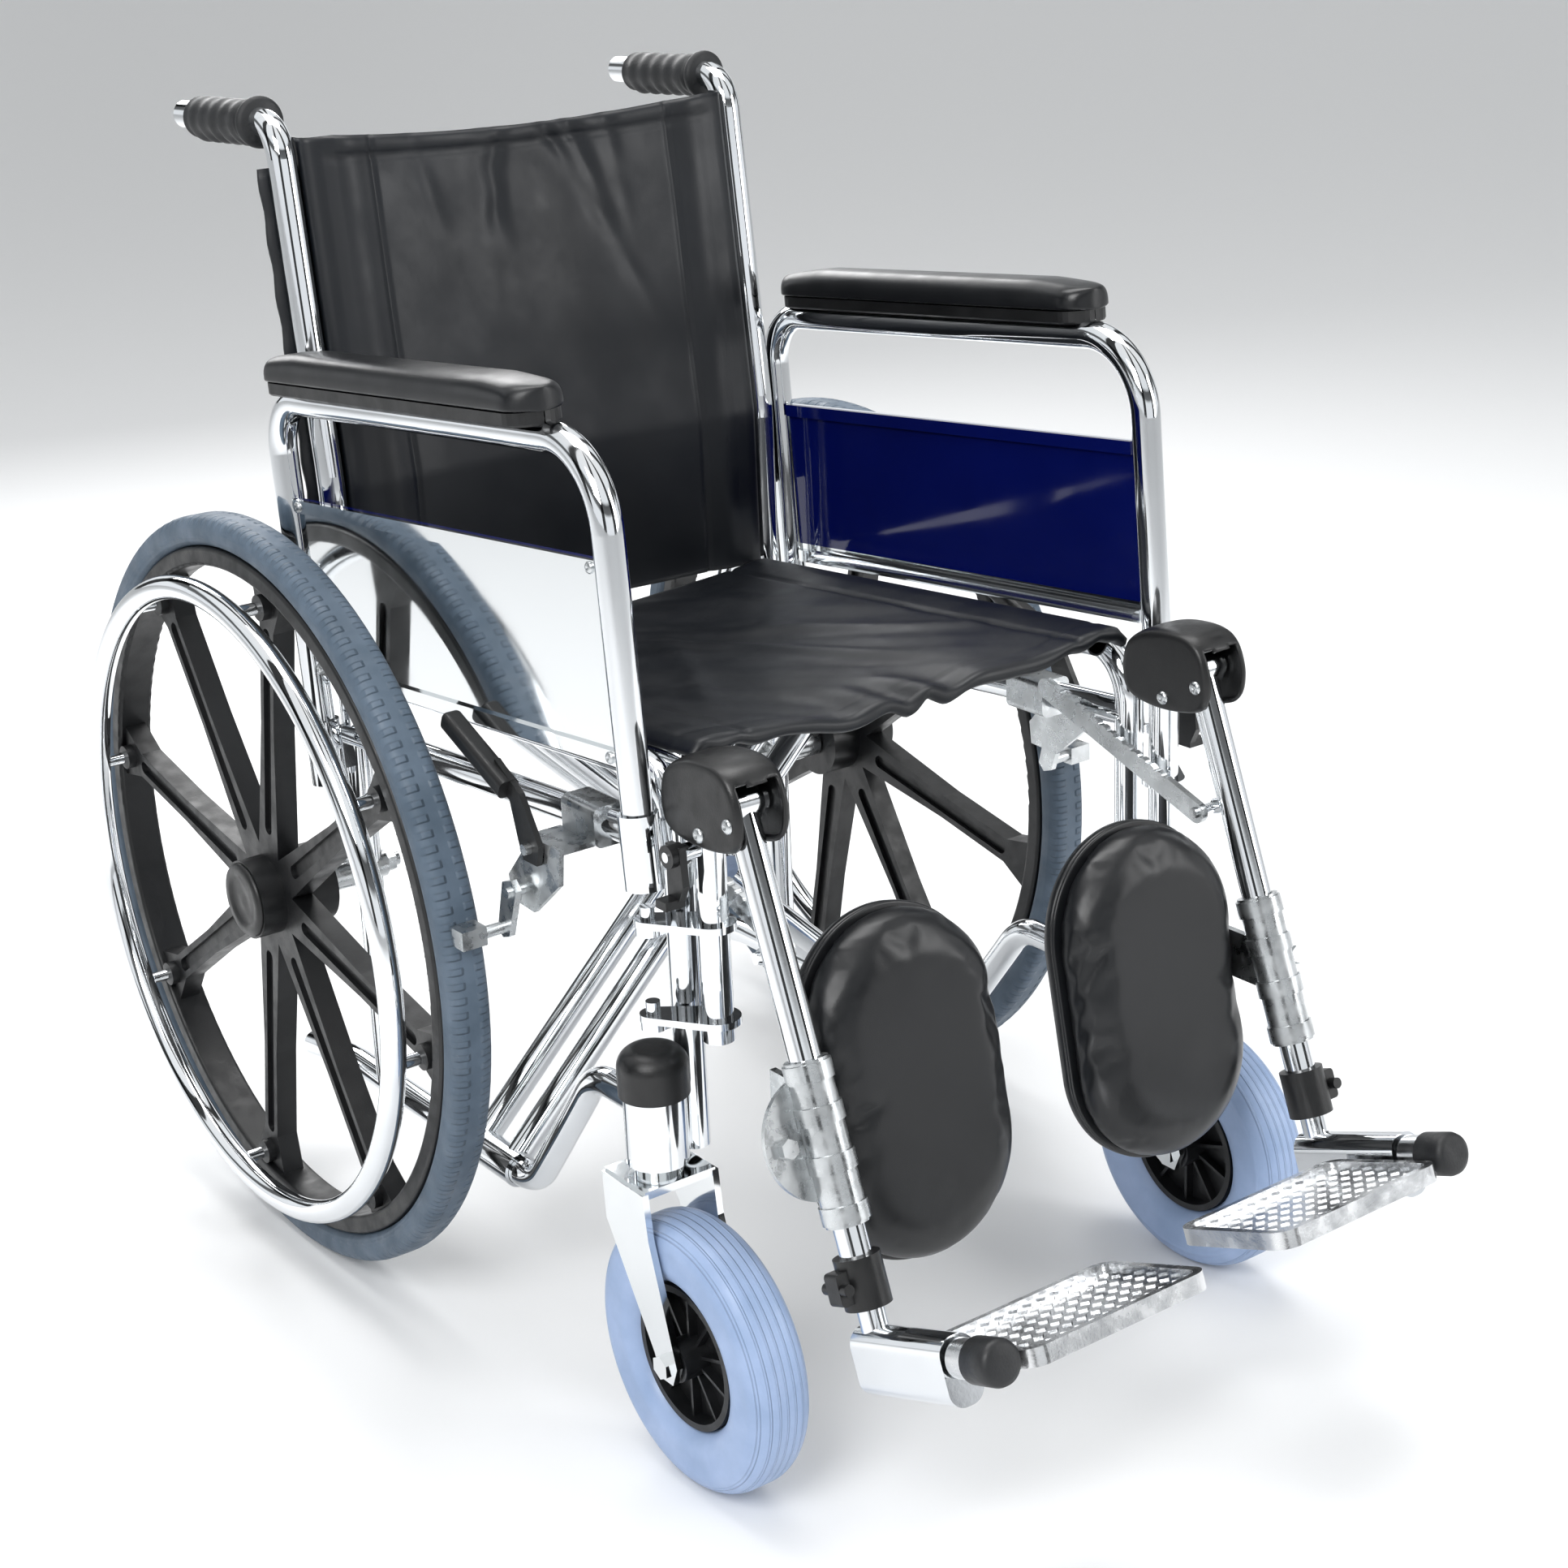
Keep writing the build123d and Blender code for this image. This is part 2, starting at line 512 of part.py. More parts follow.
# ---------------------------------------------------------------- legrests
def make_hanger_frame():
    """Swing-away tube with two hinge plates and the knee pin."""
    x_axis, y_axis = SWING_AXIS
    with BuildPart() as hanger:
        route = [
            (FRAME_X, HANGER_Y, HINGE_ZS[0] - 6),
            (FRAME_X, HANGER_Y, KNEE[1] - 18),
            (FRAME_X, KNEE[0] + 16, KNEE[1] - 2),
        ]
        add_tube(route, 14, TUBE)
        ear_back = KNEE[0] + 40
        add_box((FRAME_X - EAR_OUT, KNEE[0] + 22, KNEE[1] - 12), (FRAME_X + EAR_OUT, ear_back, KNEE[1] + 9))
        for side in (-1, 1):
            inner, outer = FRAME_X + side * EAR_IN, FRAME_X + side * EAR_OUT
            add_rod((inner, *KNEE), (outer, *KNEE), 10)
            add_box((min(inner, outer), KNEE[0], KNEE[1] - 10), (max(inner, outer), ear_back, KNEE[1] + 9))
        add_tube(route, 14, TUBE - WALL, Mode.SUBTRACT)
        for z in HINGE_ZS:
            with BuildSketch(Plane.XY.offset(z + 6 + GAP)) as plate:
                with Locations((FRAME_X, HANGER_Y)):
                    Circle(TUBE + 5)
                with Locations((x_axis, y_axis)):
                    Circle(9.5)
                make_hull()
            extrude(plate.sketch, amount=5)
            add_rod((*SWING_AXIS, z), (*SWING_AXIS, z + 20), 5 + GAP, Mode.SUBTRACT)
        post_room = TUBE + 2
        add_rod((FRAME_X, POST_Y, 300), (FRAME_X, POST_Y, 520), post_room, Mode.SUBTRACT)
        add_rod((FRAME_X - 19, *KNEE), (FRAME_X + 19, *KNEE), 5)
        add_rod((FRAME_X + TUBE - 1, *LEVER_PIVOT), (LEVER_X, *LEVER_PIVOT), 6)
        add_rod((LEVER_X - 1, *LEVER_PIVOT), (LEVER_X + 12, *LEVER_PIVOT), 3.5)
    return hanger.part


def hood_outline():
    """Side view of the moulded knee cover."""
    y, z = KNEE
    return [
        (y + 52, z - 24),
        (y + 52, z + 16),
        (y + 34, z + 31),
        (y - 4, z + 31),
        (y - 17, z + 26),
        (y - 17, z - 18),
        (y - 10, z - 26),
        (y + 44, z - 30),
    ]


def cut_arch(half, back, mode):
    """Keeps or cuts a run with the cover's front view, round on top, forwards from the given y."""
    y, z = KNEE
    crown = Plane(origin=(FRAME_X, back, z + 31 - HOOD_HALF), x_dir=(1, 0, 0), z_dir=(0, -1, 0))
    with BuildSketch(crown) as front:
        Circle(half)
        with Locations((0, -40)):
            Rectangle(2 * half, 80)
    extrude(front.sketch, amount=90, mode=mode)


def make_hanger_head():
    """Hollow moulded cover over the knee, round on top, and open in front and below for the leg."""
    with BuildPart() as head:
        add_side_outline(hood_outline(), FRAME_X - HOOD_HALF, FRAME_X + HOOD_HALF)
        cut_arch(HOOD_HALF, KNEE[0] + 60, Mode.INTERSECT)
        cut_arch(HOOD_HALF - 3, KNEE[0] + 48.5, Mode.SUBTRACT)
        add_rod((FRAME_X - 19, *KNEE), (FRAME_X + 19, *KNEE), 5, Mode.SUBTRACT)
    return head.part


def make_leg_tube():
    """Leg tube with its knee eye and the lug that holds the elevation bar."""
    with BuildPart() as leg:
        add_rod(leg_point(6), leg_point(LEG_LENGTH), TUBE)
        add_rod((FRAME_X - EAR_IN + 0.5, *KNEE), (FRAME_X + EAR_IN - 0.5, *KNEE), 13)
        pin = (FRAME_X, *BAR_PIN)
        lug_root = leg_point(BAR_DOWN)
        add_rod(lug_root, pin, 6)
        add_rod((BAR_X - 5, *BAR_PIN), (FRAME_X + 6, *BAR_PIN), 4)
        add_rod(leg_point(40), leg_point(LEG_LENGTH + 5), TUBE - WALL, Mode.SUBTRACT)
        add_rod((FRAME_X - 19, *KNEE), (FRAME_X + 19, *KNEE), 5 + FIT, Mode.SUBTRACT)
    return leg.part


def make_leg_clamp():
    """Moulded collar with its clamp bolt at the bottom of the leg tube."""
    low, high = LEG_LENGTH - 30, LEG_LENGTH + 4
    with BuildPart() as clamp:
        add_rod(leg_point(low), leg_point(high), 16)
        ear_root = leg_point((low + high) / 2, 0, FRAME_X + 17)
        ears = Plane(origin=ear_root, x_dir=(1, 0, 0), z_dir=LEG_FORWARD)
        add_slab(ears, 14, 22, 14, 3)
        for reach in (-13, 13):
            head = leg_point((low + high) / 2, reach, FRAME_X + 20)
            add_rod(leg_point((low + high) / 2, 0, FRAME_X + 20), head, 4)
        add_rod(leg_point(low - 5), leg_point(LEG_LENGTH), TUBE, Mode.SUBTRACT)
        add_rod(leg_point(low - 5), leg_point(high + 5), TUBE - WALL, Mode.SUBTRACT)
    return clamp.part


def calf_plane(x=CALF_CENTRE[0], out=0.0):
    """The calf pad's middle plane: local y up the pad, local z out of its front."""
    turn = radians(CALF_TILT)
    origin = (x, CALF_CENTRE[1] - out * cos(turn), CALF_CENTRE[2] + out * sin(turn))
    return Plane(origin=origin, x_dir=(1, 0, 0), z_dir=(0, -cos(turn), sin(turn)))


def make_calf_pad():
    """Oval pad with well rounded edges."""
    width, height, thickness = CALF_SIZE
    with BuildPart() as pad:
        with BuildSketch(calf_plane()) as outline:
            SlotOverall(height, width, rotation=90)
        extrude(outline.sketch, amount=thickness / 2, both=True)
        through = Axis(CALF_CENTRE, calf_plane().z_dir)
        fillet(pad.faces().sort_by(through)[-1].edges(), 20)
        fillet(pad.faces().sort_by(through)[0].edges(), 8)
    return pad.part


def make_calf_bracket():
    """Sleeve on the leg, the arm behind the pad, and the half-round stop plate with its bolt."""
    back = CALF_SIZE[2] / 2
    low, high = CALF_DROP - 52, CALF_DROP + 58
    pad_edge = CALF_CENTRE[0] + CALF_SIZE[0] / 2
    arm_start, arm_end = CALF_CENTRE[0] + 24, FRAME_X - 7
    with BuildPart() as bracket:
        add_rod(leg_point(low), leg_point(high), 15)
        for down in (low + 8, CALF_DROP - 16, CALF_DROP + 16, high - 8):
            add_rod(leg_point(down - 6), leg_point(down + 6), 16.5)
        add_box((pad_edge + 1, -358, 280), (arm_end, -292, 316))
        add_slab(calf_plane(arm_start, -back - 2), 2 * (arm_end - arm_start), 34, 4, 6)
        stop = Plane(origin=leg_point(CALF_DROP, -9), x_dir=(1, 0, 0), z_dir=LEG_FORWARD)
        with BuildSketch(stop) as plate:
            Circle(42)
            with Locations((-46, 0)):
                Rectangle(100, 100, mode=Mode.SUBTRACT)
        extrude(plate.sketch, amount=2, both=True)
        with BuildSketch(Plane(origin=leg_point(CALF_DROP, -8, FRAME_X + 27), z_dir=LEG_FORWARD)) as bolt:
            RegularPolygon(7, 6)
        extrude(bolt.sketch, amount=7)
        add_rod(leg_point(low - 5), leg_point(high + 5), TUBE + GAP, Mode.SUBTRACT)
    return bracket.part


def make_foot_tube():
    """Sliding tube inside the leg, with the folded bracket and the footplate's hinge pin."""
    with BuildPart() as foot:
        add_rod(leg_point(LEG_LENGTH - FOOT_INSERT), leg_point(FOOT_DROP), TUBE - WALL - GAP)
        sleeve = Plane(origin=leg_point(FOOT_DROP, -13), x_dir=(1, 0, 0), z_dir=LEG_FORWARD)
        with BuildSketch(sleeve) as section:
            with Locations((0, -8)):
                RectangleRounded(28, 46, 12)
        extrude(section.sketch, amount=98)
        add_rod(leg_point(FOOT_DROP, 85), leg_point(FOOT_DROP, 124), 5)
        hollow_start = leg_point(LEG_LENGTH - FOOT_INSERT - 5)
        add_rod(hollow_start, leg_point(FOOT_DROP - 18), TUBE - 2 * WALL - GAP, Mode.SUBTRACT)
    return foot.part


def make_footplate():
    """Flip-up plate: a raised rim, a floor of small ridges, and a hinge barrel."""
    low_x, high_x = PLATE_X
    near, far = PLATE_SPAN
    width, length = high_x - low_x, far - near
    centre = leg_point(FOOT_DROP + 8, (near + far) / 2, (low_x + high_x) / 2)
    up = tuple(-step for step in LEG_DOWN)
    floor = Plane(origin=centre, x_dir=(1, 0, 0), z_dir=up)
    with BuildPart() as plate:
        add_slab(floor, width, length, 6, 14)
        with BuildSketch(floor.offset(-3)) as rim:
            RectangleRounded(width, length, 14)
            RectangleRounded(width - 12, length - 12, 8, mode=Mode.SUBTRACT)
        extrude(rim.sketch, amount=12)
        with BuildSketch(floor.offset(3)) as ridges:
            with GridLocations((width - 22) / 11, (length - 22) / 7, 12, 8):
                Rectangle(6, 6, rotation=45)
        extrude(ridges.sketch, amount=1.2)
        add_rod(leg_point(FOOT_DROP, 88), leg_point(FOOT_DROP, 124), 13)
        web = leg_point(FOOT_DROP + 8, 106, FRAME_X - 13)
        add_slab(Plane(origin=web, x_dir=(1, 0, 0), z_dir=up), 30, 30, 6)
        add_rod(leg_point(FOOT_DROP, 80), leg_point(FOOT_DROP, 130), 5 + FIT, Mode.SUBTRACT)
    return plate.part


def make_ratchet_bar():
    """Flat toothed bar that holds the legrest's elevation."""
    turn = radians(BAR_ANGLE)
    along = (0, cos(turn), sin(turn))
    middle = [start + step * BAR_LENGTH / 2 for start, step in zip((BAR_X, *BAR_PIN), along)]
    bar_plane = Plane(origin=tuple(middle), x_dir=along, z_dir=(1, 0, 0))
    with BuildPart() as bar:
        with BuildSketch(bar_plane) as outline:
            SlotOverall(BAR_LENGTH + 16, 16)
            with Locations((10, 9)):
                with GridLocations(9, 1, 14, 1):
                    Circle(2.6, mode=Mode.SUBTRACT)
        extrude(outline.sketch, amount=2.5, both=True)
        add_rod((BAR_X - 8, *BAR_PIN), (BAR_X + 8, *BAR_PIN), 4 + FIT, Mode.SUBTRACT)
    return bar.part


def make_release_lever():
    """Moulded thumb lever outside the hanger tube, with a ledge to press."""
    y, z = LEVER_PIVOT
    with BuildPart() as lever:
        outline = [(y + 8, z + 7), (y - 8, z + 7), (y - 10, z - 20), (y - 2, z - 36), (y + 8, z - 36)]
        add_side_outline(outline, LEVER_X + 0.5, LEVER_X + 6)
        add_box((LEVER_X + 0.5, y - 4, z - 36), (LEVER_X + 16, y + 8, z - 30))
        add_rod((LEVER_X, y, z), (LEVER_X + 11, y, z), 8)
        add_rod((LEVER_X, y, z), (LEVER_X + 12, y, z), 3.5 + FIT, Mode.SUBTRACT)
    return lever.part


# ---------------------------------------------------------------- wheel locks
def make_brake_bracket():
    """Clamp on the middle rail, with a side plate that carries both pivots."""
    clamp_z = rail_z(BRAKE_PIVOT[0] - 8) - RAIL_DROP
    with BuildPart() as bracket:
        add_box((FRAME_X - 14, -126, clamp_z - 15), (FRAME_X + 14, -84, clamp_z + 15))
        fillet(bracket.edges().filter_by(Axis.Y), 6)
        add_box((FRAME_X + 12, -122, clamp_z - 14), (BRAKE_X - 6, -78, clamp_z - 10))
        outline = [(-124, 436), (-80, 436), (-76, 424), (-52, 398), (-54, 380), (-84, 378), (-120, 408)]
        add_side_outline(outline, BRAKE_X - 10, BRAKE_X - 6)
        add_rod((BRAKE_X - 8, *BRAKE_PIVOT), (BRAKE_X + 4, *BRAKE_PIVOT), 4)
        add_rod((BRAKE_X - 8, *SHOE_PIVOT), (BRAKE_X + 8, *SHOE_PIVOT), 4)
        add_tube(MIDDLE_TUBE, 0, TUBE, Mode.SUBTRACT)
    return bracket.part


def make_brake_lever():
    """Flat steel arm with a moulded grip that points back when the wheel is locked."""
    y, z = BRAKE_PIVOT
    with BuildPart() as lever:
        outline = [(y - 13, z + 4), (y - 9, z - 11), (y + 9, z - 11), (y + 14, z + 2), (y + 22, z + 30)]
        outline += [(y + 44, z + 44), (y + 38, z + 56), (y + 8, z + 38)]
        add_side_outline(outline, BRAKE_X - 5.5, BRAKE_X - 1)
        start, end = Vector(BRAKE_X - 1, y + 22, z + 38), Vector(BRAKE_X - 1, y + 99, z + 72)
        grip = Plane(origin=start, x_dir=(1, 0, 0), z_dir=end - start)
        with BuildSketch(grip) as section:
            RectangleRounded(16, 15, 5)
        extrude(section.sketch, amount=(end - start).length)
        fillet(lever.faces().sort_by(Axis.Y)[-1].edges(), 4)
        add_rod((BRAKE_X - 10, y, z), (BRAKE_X + 8, y, z), 4 + FIT, Mode.SUBTRACT)
    return lever.part


def make_brake_shoe():
    """Cranked arm with the shoe that bears on the tread."""
    y, z = SHOE_PIVOT
    shoe_y, shoe_z = SHOE_CENTRE
    with BuildPart() as shoe:
        outline = [(y - 10, z + 3), (y - 4, z + 10), (y + 8, z + 6), (shoe_y + 9, shoe_z - 3)]
        outline += [(shoe_y + 3, shoe_z - 9), (shoe_y - 6, shoe_z - 6)]
        add_side_outline(outline, BRAKE_X + 0.5, BRAKE_X + 5.5)
        add_rod((BRAKE_X + 1, shoe_y, shoe_z), (WHEEL_X + 4, shoe_y, shoe_z), 4.5)
        add_box((WHEEL_X - 10, shoe_y - 6, shoe_z - 7), (WHEEL_X + 10, shoe_y + 14, shoe_z + 7))
        tread = [(x, AXLE_Y, AXLE_Z) for x in (BRAKE_X + 8, WHEEL_X + 30)]
        add_rod(*tread, WHEEL_RADIUS + GAP, Mode.SUBTRACT)
        add_rod((BRAKE_X - 2, y, z), (BRAKE_X + 8, y, z), 4 + FIT, Mode.SUBTRACT)
    return shoe.part


# ---------------------------------------------------------------- folding cross braces
def seat_rail_point(y, side=1):
    """A point on a seat rail's centre line."""
    return (side * SEAT_RAIL_X, y, rail_z(y) + RAIL_LIFT)


def add_cross_member(bar_ys, side):
    """Lower sleeve, seat rail on the other side, and the two bars between them."""
    low, high = SLEEVE_SPAN
    sleeve = [(-side * FRAME_X, y, LOWER_Z) for y in (low, high)]
    rail = [seat_rail_point(y, side) for y in SEAT_RAIL_SPAN]
    bars = [([(-side * FRAME_X, y, LOWER_Z), seat_rail_point(y, side)], 0) for y in bar_ys]
    add_rod(*sleeve, 14)
    add_tubes([(rail, 0)] + bars)
    reach = [(-side * FRAME_X, y, LOWER_Z) for y in (low - 5, high + 5)]
    add_rod(*reach, TUBE + GAP, Mode.SUBTRACT)


def make_cross_member_a():
    """Cross brace from the right lower tube to the left seat rail, with the centre bolt."""
    with BuildPart() as member:
        add_cross_member(BAR_YS, 1)
        add_rod((0, BAR_YS[0] - 18, PIVOT_Z), (0, BAR_YS[1] + BAR_PITCH + 19, PIVOT_Z), 6)
        for y in (BAR_YS[0] - 20, BAR_YS[1] + BAR_PITCH + 14):
            add_rod((0, y, PIVOT_Z), (0, y + 6, PIVOT_Z), 10)
    return member.part


def make_cross_member_b():
    """The opposite cross brace, which turns on the centre bolt."""
    with BuildPart() as member:
        add_cross_member([y + BAR_PITCH for y in BAR_YS], -1)
        add_rod((0, BAR_YS[0] - 25, PIVOT_Z), (0, BAR_YS[1] + 60, PIVOT_Z), 6 + GAP, Mode.SUBTRACT)
    return member.part


# ---------------------------------------------------------------- upholstery
def make_seat_sling():
    """Seat fabric laid across both seat rails."""
    front, rear = SEAT_SPAN
    centre = (front + rear) / 2
    lift = RAIL_LIFT + TUBE + GAP + SEAT_THICKNESS / 2
    middle = (0, centre, rail_z(centre) + lift)
    sheet = Plane(origin=middle, x_dir=(1, 0, 0), z_dir=(0, RAIL_SLOPE, 1))
    with BuildPart() as seat:
        add_slab(sheet, 2 * SEAT_HALF, rear - front, SEAT_THICKNESS, 6)
    return seat.part


def add_leaning(section, low, high, lean):
    """Carries a horizontal section up the canes: straight at first, then leaning back."""
    for start, end, slope in ((low, CANE_BEND_Z, 0.0), (CANE_BEND_Z, high, lean)):
        with BuildSketch(Plane.XY.offset(start)) as outline:
            for x_low, x_high, y_low, y_high in section:
                with Locations(((x_low + x_high) / 2, AXLE_Y + (y_low + y_high) / 2)):
                    Rectangle(x_high - x_low, y_high - y_low)
        extrude(outline.sketch, amount=(end - start) * sqrt(1 + slope**2), dir=(0, slope, 1))


def make_back_sling():
    """Back fabric between the canes, with a hem that wraps the inside of each and is screwed on behind."""
    low, high = BACK_SPAN_Z
    lean = (CANE_TOP[1] - AXLE_Y) / (CANE_TOP[2] - CANE_BEND_Z)
    front = HEM_DEPTH / 2
    sheet = [(-BACK_HALF, BACK_HALF, -front, BACK_THICKNESS - front)]
    hems = []
    for side in (-1, 1):
        returns = sorted((side * BACK_HALF, side * (BACK_HALF - BACK_THICKNESS)))
        flap = sorted((side * (BACK_HALF - BACK_THICKNESS), side * FLAP_HALF))
        hems += [(*returns, -front, front), (*flap, TUBE + GAP, front)]
    with BuildPart() as back:
        add_leaning(sheet, low, high, lean)
        add_leaning(hems, BACK_HEM_LOW_Z, FLAP_TOP_Z, lean)
    return back.part


PAIRS = {
    "side_frame": make_side_frame,
    "back_cane": make_back_cane,
    "push_grip": make_push_grip,
    "seat_saddles": make_seat_saddles,
    "rear_axle": make_rear_axle,
    "rear_tyre": make_rear_tyre,
    "mag_wheel": make_mag_wheel,
    "handrim": make_handrim,
    "stem_cap": make_stem_cap,
    "caster_fork": make_caster_fork,
    "caster_tyre": make_caster_tyre,
    "caster_hub": make_caster_hub,
    "armrest_frame": make_armrest_frame,
    "arm_pad": make_arm_pad,
    "skirt_panel": make_skirt_panel,
    "hanger_frame": make_hanger_frame,
    "hanger_head": make_hanger_head,
    "leg_tube": make_leg_tube,
    "leg_clamp": make_leg_clamp,
    "calf_pad": make_calf_pad,
    "calf_bracket": make_calf_bracket,
    "foot_tube": make_foot_tube,
    "footplate": make_footplate,
    "ratchet_bar": make_ratchet_bar,
    "release_lever": make_release_lever,
    "brake_bracket": make_brake_bracket,
    "brake_lever": make_brake_lever,
    "brake_shoe": make_brake_shoe,
}

SINGLES = {
    "cross_member_a": make_cross_member_a,
    "cross_member_b": make_cross_member_b,
    "seat_sling": make_seat_sling,
    "back_sling": make_back_sling,
}

for name, make in PAIRS.items():
    write_pair(make(), name)
for name, make in SINGLES.items():
    write_one(make(), name)
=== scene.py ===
"""Visual model of the folding wheelchair, in metres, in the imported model's frame."""
import math

import bmesh
import bpy
import numpy as np
from mathutils import Matrix, Vector, noise


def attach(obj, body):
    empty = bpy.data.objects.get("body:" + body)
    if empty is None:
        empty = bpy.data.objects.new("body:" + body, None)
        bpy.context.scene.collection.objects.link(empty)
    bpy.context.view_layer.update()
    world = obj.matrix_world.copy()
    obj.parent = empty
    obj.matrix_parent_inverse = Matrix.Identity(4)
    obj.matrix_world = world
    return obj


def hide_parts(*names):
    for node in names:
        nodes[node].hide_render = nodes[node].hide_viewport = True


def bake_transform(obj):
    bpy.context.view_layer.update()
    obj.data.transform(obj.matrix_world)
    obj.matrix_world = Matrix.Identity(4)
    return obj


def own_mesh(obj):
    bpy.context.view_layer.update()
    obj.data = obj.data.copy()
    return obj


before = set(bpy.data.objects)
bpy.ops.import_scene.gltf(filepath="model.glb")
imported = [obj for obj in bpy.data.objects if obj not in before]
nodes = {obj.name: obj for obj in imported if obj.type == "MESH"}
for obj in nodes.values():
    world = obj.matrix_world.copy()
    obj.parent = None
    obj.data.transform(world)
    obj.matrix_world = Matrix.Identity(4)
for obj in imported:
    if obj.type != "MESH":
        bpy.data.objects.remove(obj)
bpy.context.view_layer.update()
SIDES = (("left", 1), ("right", -1))

# ------------------------------------------------------------------ dimensions shared with the CAD
FRAME_X, AXLE_Y, AXLE_Z, RAIL_Z, RAIL_SLOPE = 0.206, 0.250, 0.305, 0.4895, 0.072
GRIP_Z = 0.8935
CANE_BEND_Z, CANE_LEAN = 0.620, 0.032 / 0.275
KNEE = (-0.282, 0.503)
LEG_ANGLE, CALF_TILT, ARM_TILT = math.radians(20.8), math.radians(11), math.radians(4.5)


def rail_z(y):
    return RAIL_Z - RAIL_SLOPE * y


def cane_y(z):
    return AXLE_Y + CANE_LEAN * max(0.0, z - CANE_BEND_Z)


def leg_point(down, forward=0.0, x=FRAME_X):
    c, s = math.cos(LEG_ANGLE), math.sin(LEG_ANGLE)
    return Vector((x, KNEE[0] - down * s - forward * c, KNEE[1] - down * c + forward * s))


def arm_point(along, height, x=0.236):
    c, s = math.cos(ARM_TILT), math.sin(ARM_TILT)
    return Vector((x, -0.208 + along * c + height * s, 0.484 - along * s + height * c))


LEG_FORWARD = Vector((0, -math.cos(LEG_ANGLE), math.sin(LEG_ANGLE)))
LEG_UP = Vector((0, math.sin(LEG_ANGLE), math.cos(LEG_ANGLE)))


# ------------------------------------------------------------------ materials
class Shader:
    """A material with its Principled shader and short calls for the nodes used here."""

    def __init__(self, name, color, rough, metallic=0.0, **fixed):
        self.mat = bpy.data.materials.new(name)
        self.mat.use_nodes = True
        self.tree = self.mat.node_tree
        self.bsdf = self.tree.nodes["Principled BSDF"]
        self.set("Base Color", (*color, 1))
        self.set("Roughness", rough)
        self.set("Metallic", metallic)
        for key, value in fixed.items():
            self.set(key.replace("_", " "), value)
        self.mat.diffuse_color = (*color, 1)
        self.place = self.node("ShaderNodeTexCoord").outputs["Object"]
        self.height = None

    def set(self, socket, value):
        self.bsdf.inputs[socket].default_value = value

    def node(self, kind, **settings):
        made = self.tree.nodes.new(kind)
        for key, value in settings.items():
            setattr(made, key, value)
        return made

    def link(self, a, b):
        self.tree.links.new(a, b)

    def math(self, how, a, b=0.0, c=None):
        made = self.node("ShaderNodeMath", operation=how)
        for socket, value in zip(made.inputs, (a, b, c)):
            if value is None:
                continue
            if isinstance(value, (int, float)):
                socket.default_value = value
            else:
                self.link(value, socket)
        return made.outputs[0]

    def axes(self):
        split = self.node("ShaderNodeSeparateXYZ")
        self.link(self.place, split.inputs[0])
        return split.outputs

    def noise(self, scale, detail=4.0, rough=0.55, stretch=None):
        made = self.node("ShaderNodeTexNoise")
        made.inputs["Scale"].default_value = scale
        made.inputs["Detail"].default_value = detail
        made.inputs["Roughness"].default_value = rough
        self.link(self.stretched(stretch), made.inputs["Vector"])
        return made.outputs["Fac"]

    def cells(self, scale, feature="F1", stretch=None):
        made = self.node("ShaderNodeTexVoronoi", feature=feature)
        made.inputs["Scale"].default_value = scale
        self.link(self.stretched(stretch), made.inputs["Vector"])
        return made.outputs["Distance"]

    def stretched(self, stretch):
        if stretch is None:
            return self.place
        mapping = self.node("ShaderNodeMapping")
        mapping.inputs["Scale"].default_value = stretch
        self.link(self.place, mapping.inputs["Vector"])
        return mapping.outputs[0]

    def ramp(self, value, low, high, start=0.0, end=1.0):
        made = self.node("ShaderNodeMapRange")
        self.link(value, made.inputs["Value"])
        for key, number in (("From Min", start), ("From Max", end), ("To Min", low), ("To Max", high)):
            made.inputs[key].default_value = number
        return made.outputs[0]

    def vary_rough(self, value, low, high, start=0.35, end=0.65):
        self.link(self.ramp(value, low, high, start, end), self.bsdf.inputs["Roughness"])

    def tint(self, value, a, b, start=0.35, end=0.65):
        mix = self.node("ShaderNodeMix", data_type="RGBA")
        self.link(self.ramp(value, 0, 1, start, end), mix.inputs["Factor"])
        for key, color in ((6, a), (7, b)):
            if isinstance(color, tuple):
                mix.inputs[key].default_value = (*color, 1)
            else:
                self.link(color, mix.inputs[key])
        self.link(mix.outputs[2], self.bsdf.inputs["Base Color"])
        return mix.outputs[2]

    def bump(self, value, depth, strength=1.0):
        made = self.node("ShaderNodeBump")
        made.inputs["Strength"].default_value = strength
        made.inputs["Distance"].default_value = depth
        self.link(value, made.inputs["Height"])
        if self.height is not None:
            self.link(self.height, made.inputs["Normal"])
        self.height = made.outputs[0]
        self.link(self.height, self.bsdf.inputs["Normal"])


def make_chrome(name, color=(0.80, 0.82, 0.84), rough=(0.035, 0.11)):
    s = Shader(name, color, rough[0], 1.0)
    s.vary_rough(s.noise(14, 5), *rough)
    s.tint(s.noise(6, 3), tuple(c * 0.93 for c in color), tuple(min(1, c * 1.05) for c in color))
    s.bump(s.noise(260, 2), 0.00003, 0.25)
    return s.mat


def make_zinc(name, color, rough):
    s = Shader(name, color, rough, 1.0)
    s.tint(s.noise(40, 6), tuple(c * 0.8 for c in color), tuple(min(1, c * 1.1) for c in color))
    s.vary_rough(s.noise(90, 5), rough - 0.07, rough + 0.14)
    s.bump(s.noise(700, 3), 0.00008, 0.4)
    return s.mat


def make_plastic(name, color, rough, grain=900, depth=0.00008):
    s = Shader(name, color, rough)
    s.tint(s.noise(25, 5), tuple(c * 0.8 for c in color), tuple(c * 1.35 for c in color))
    s.vary_rough(s.noise(60, 4), rough - 0.06, rough + 0.12)
    s.bump(s.cells(grain), depth, 0.5)
    return s.mat


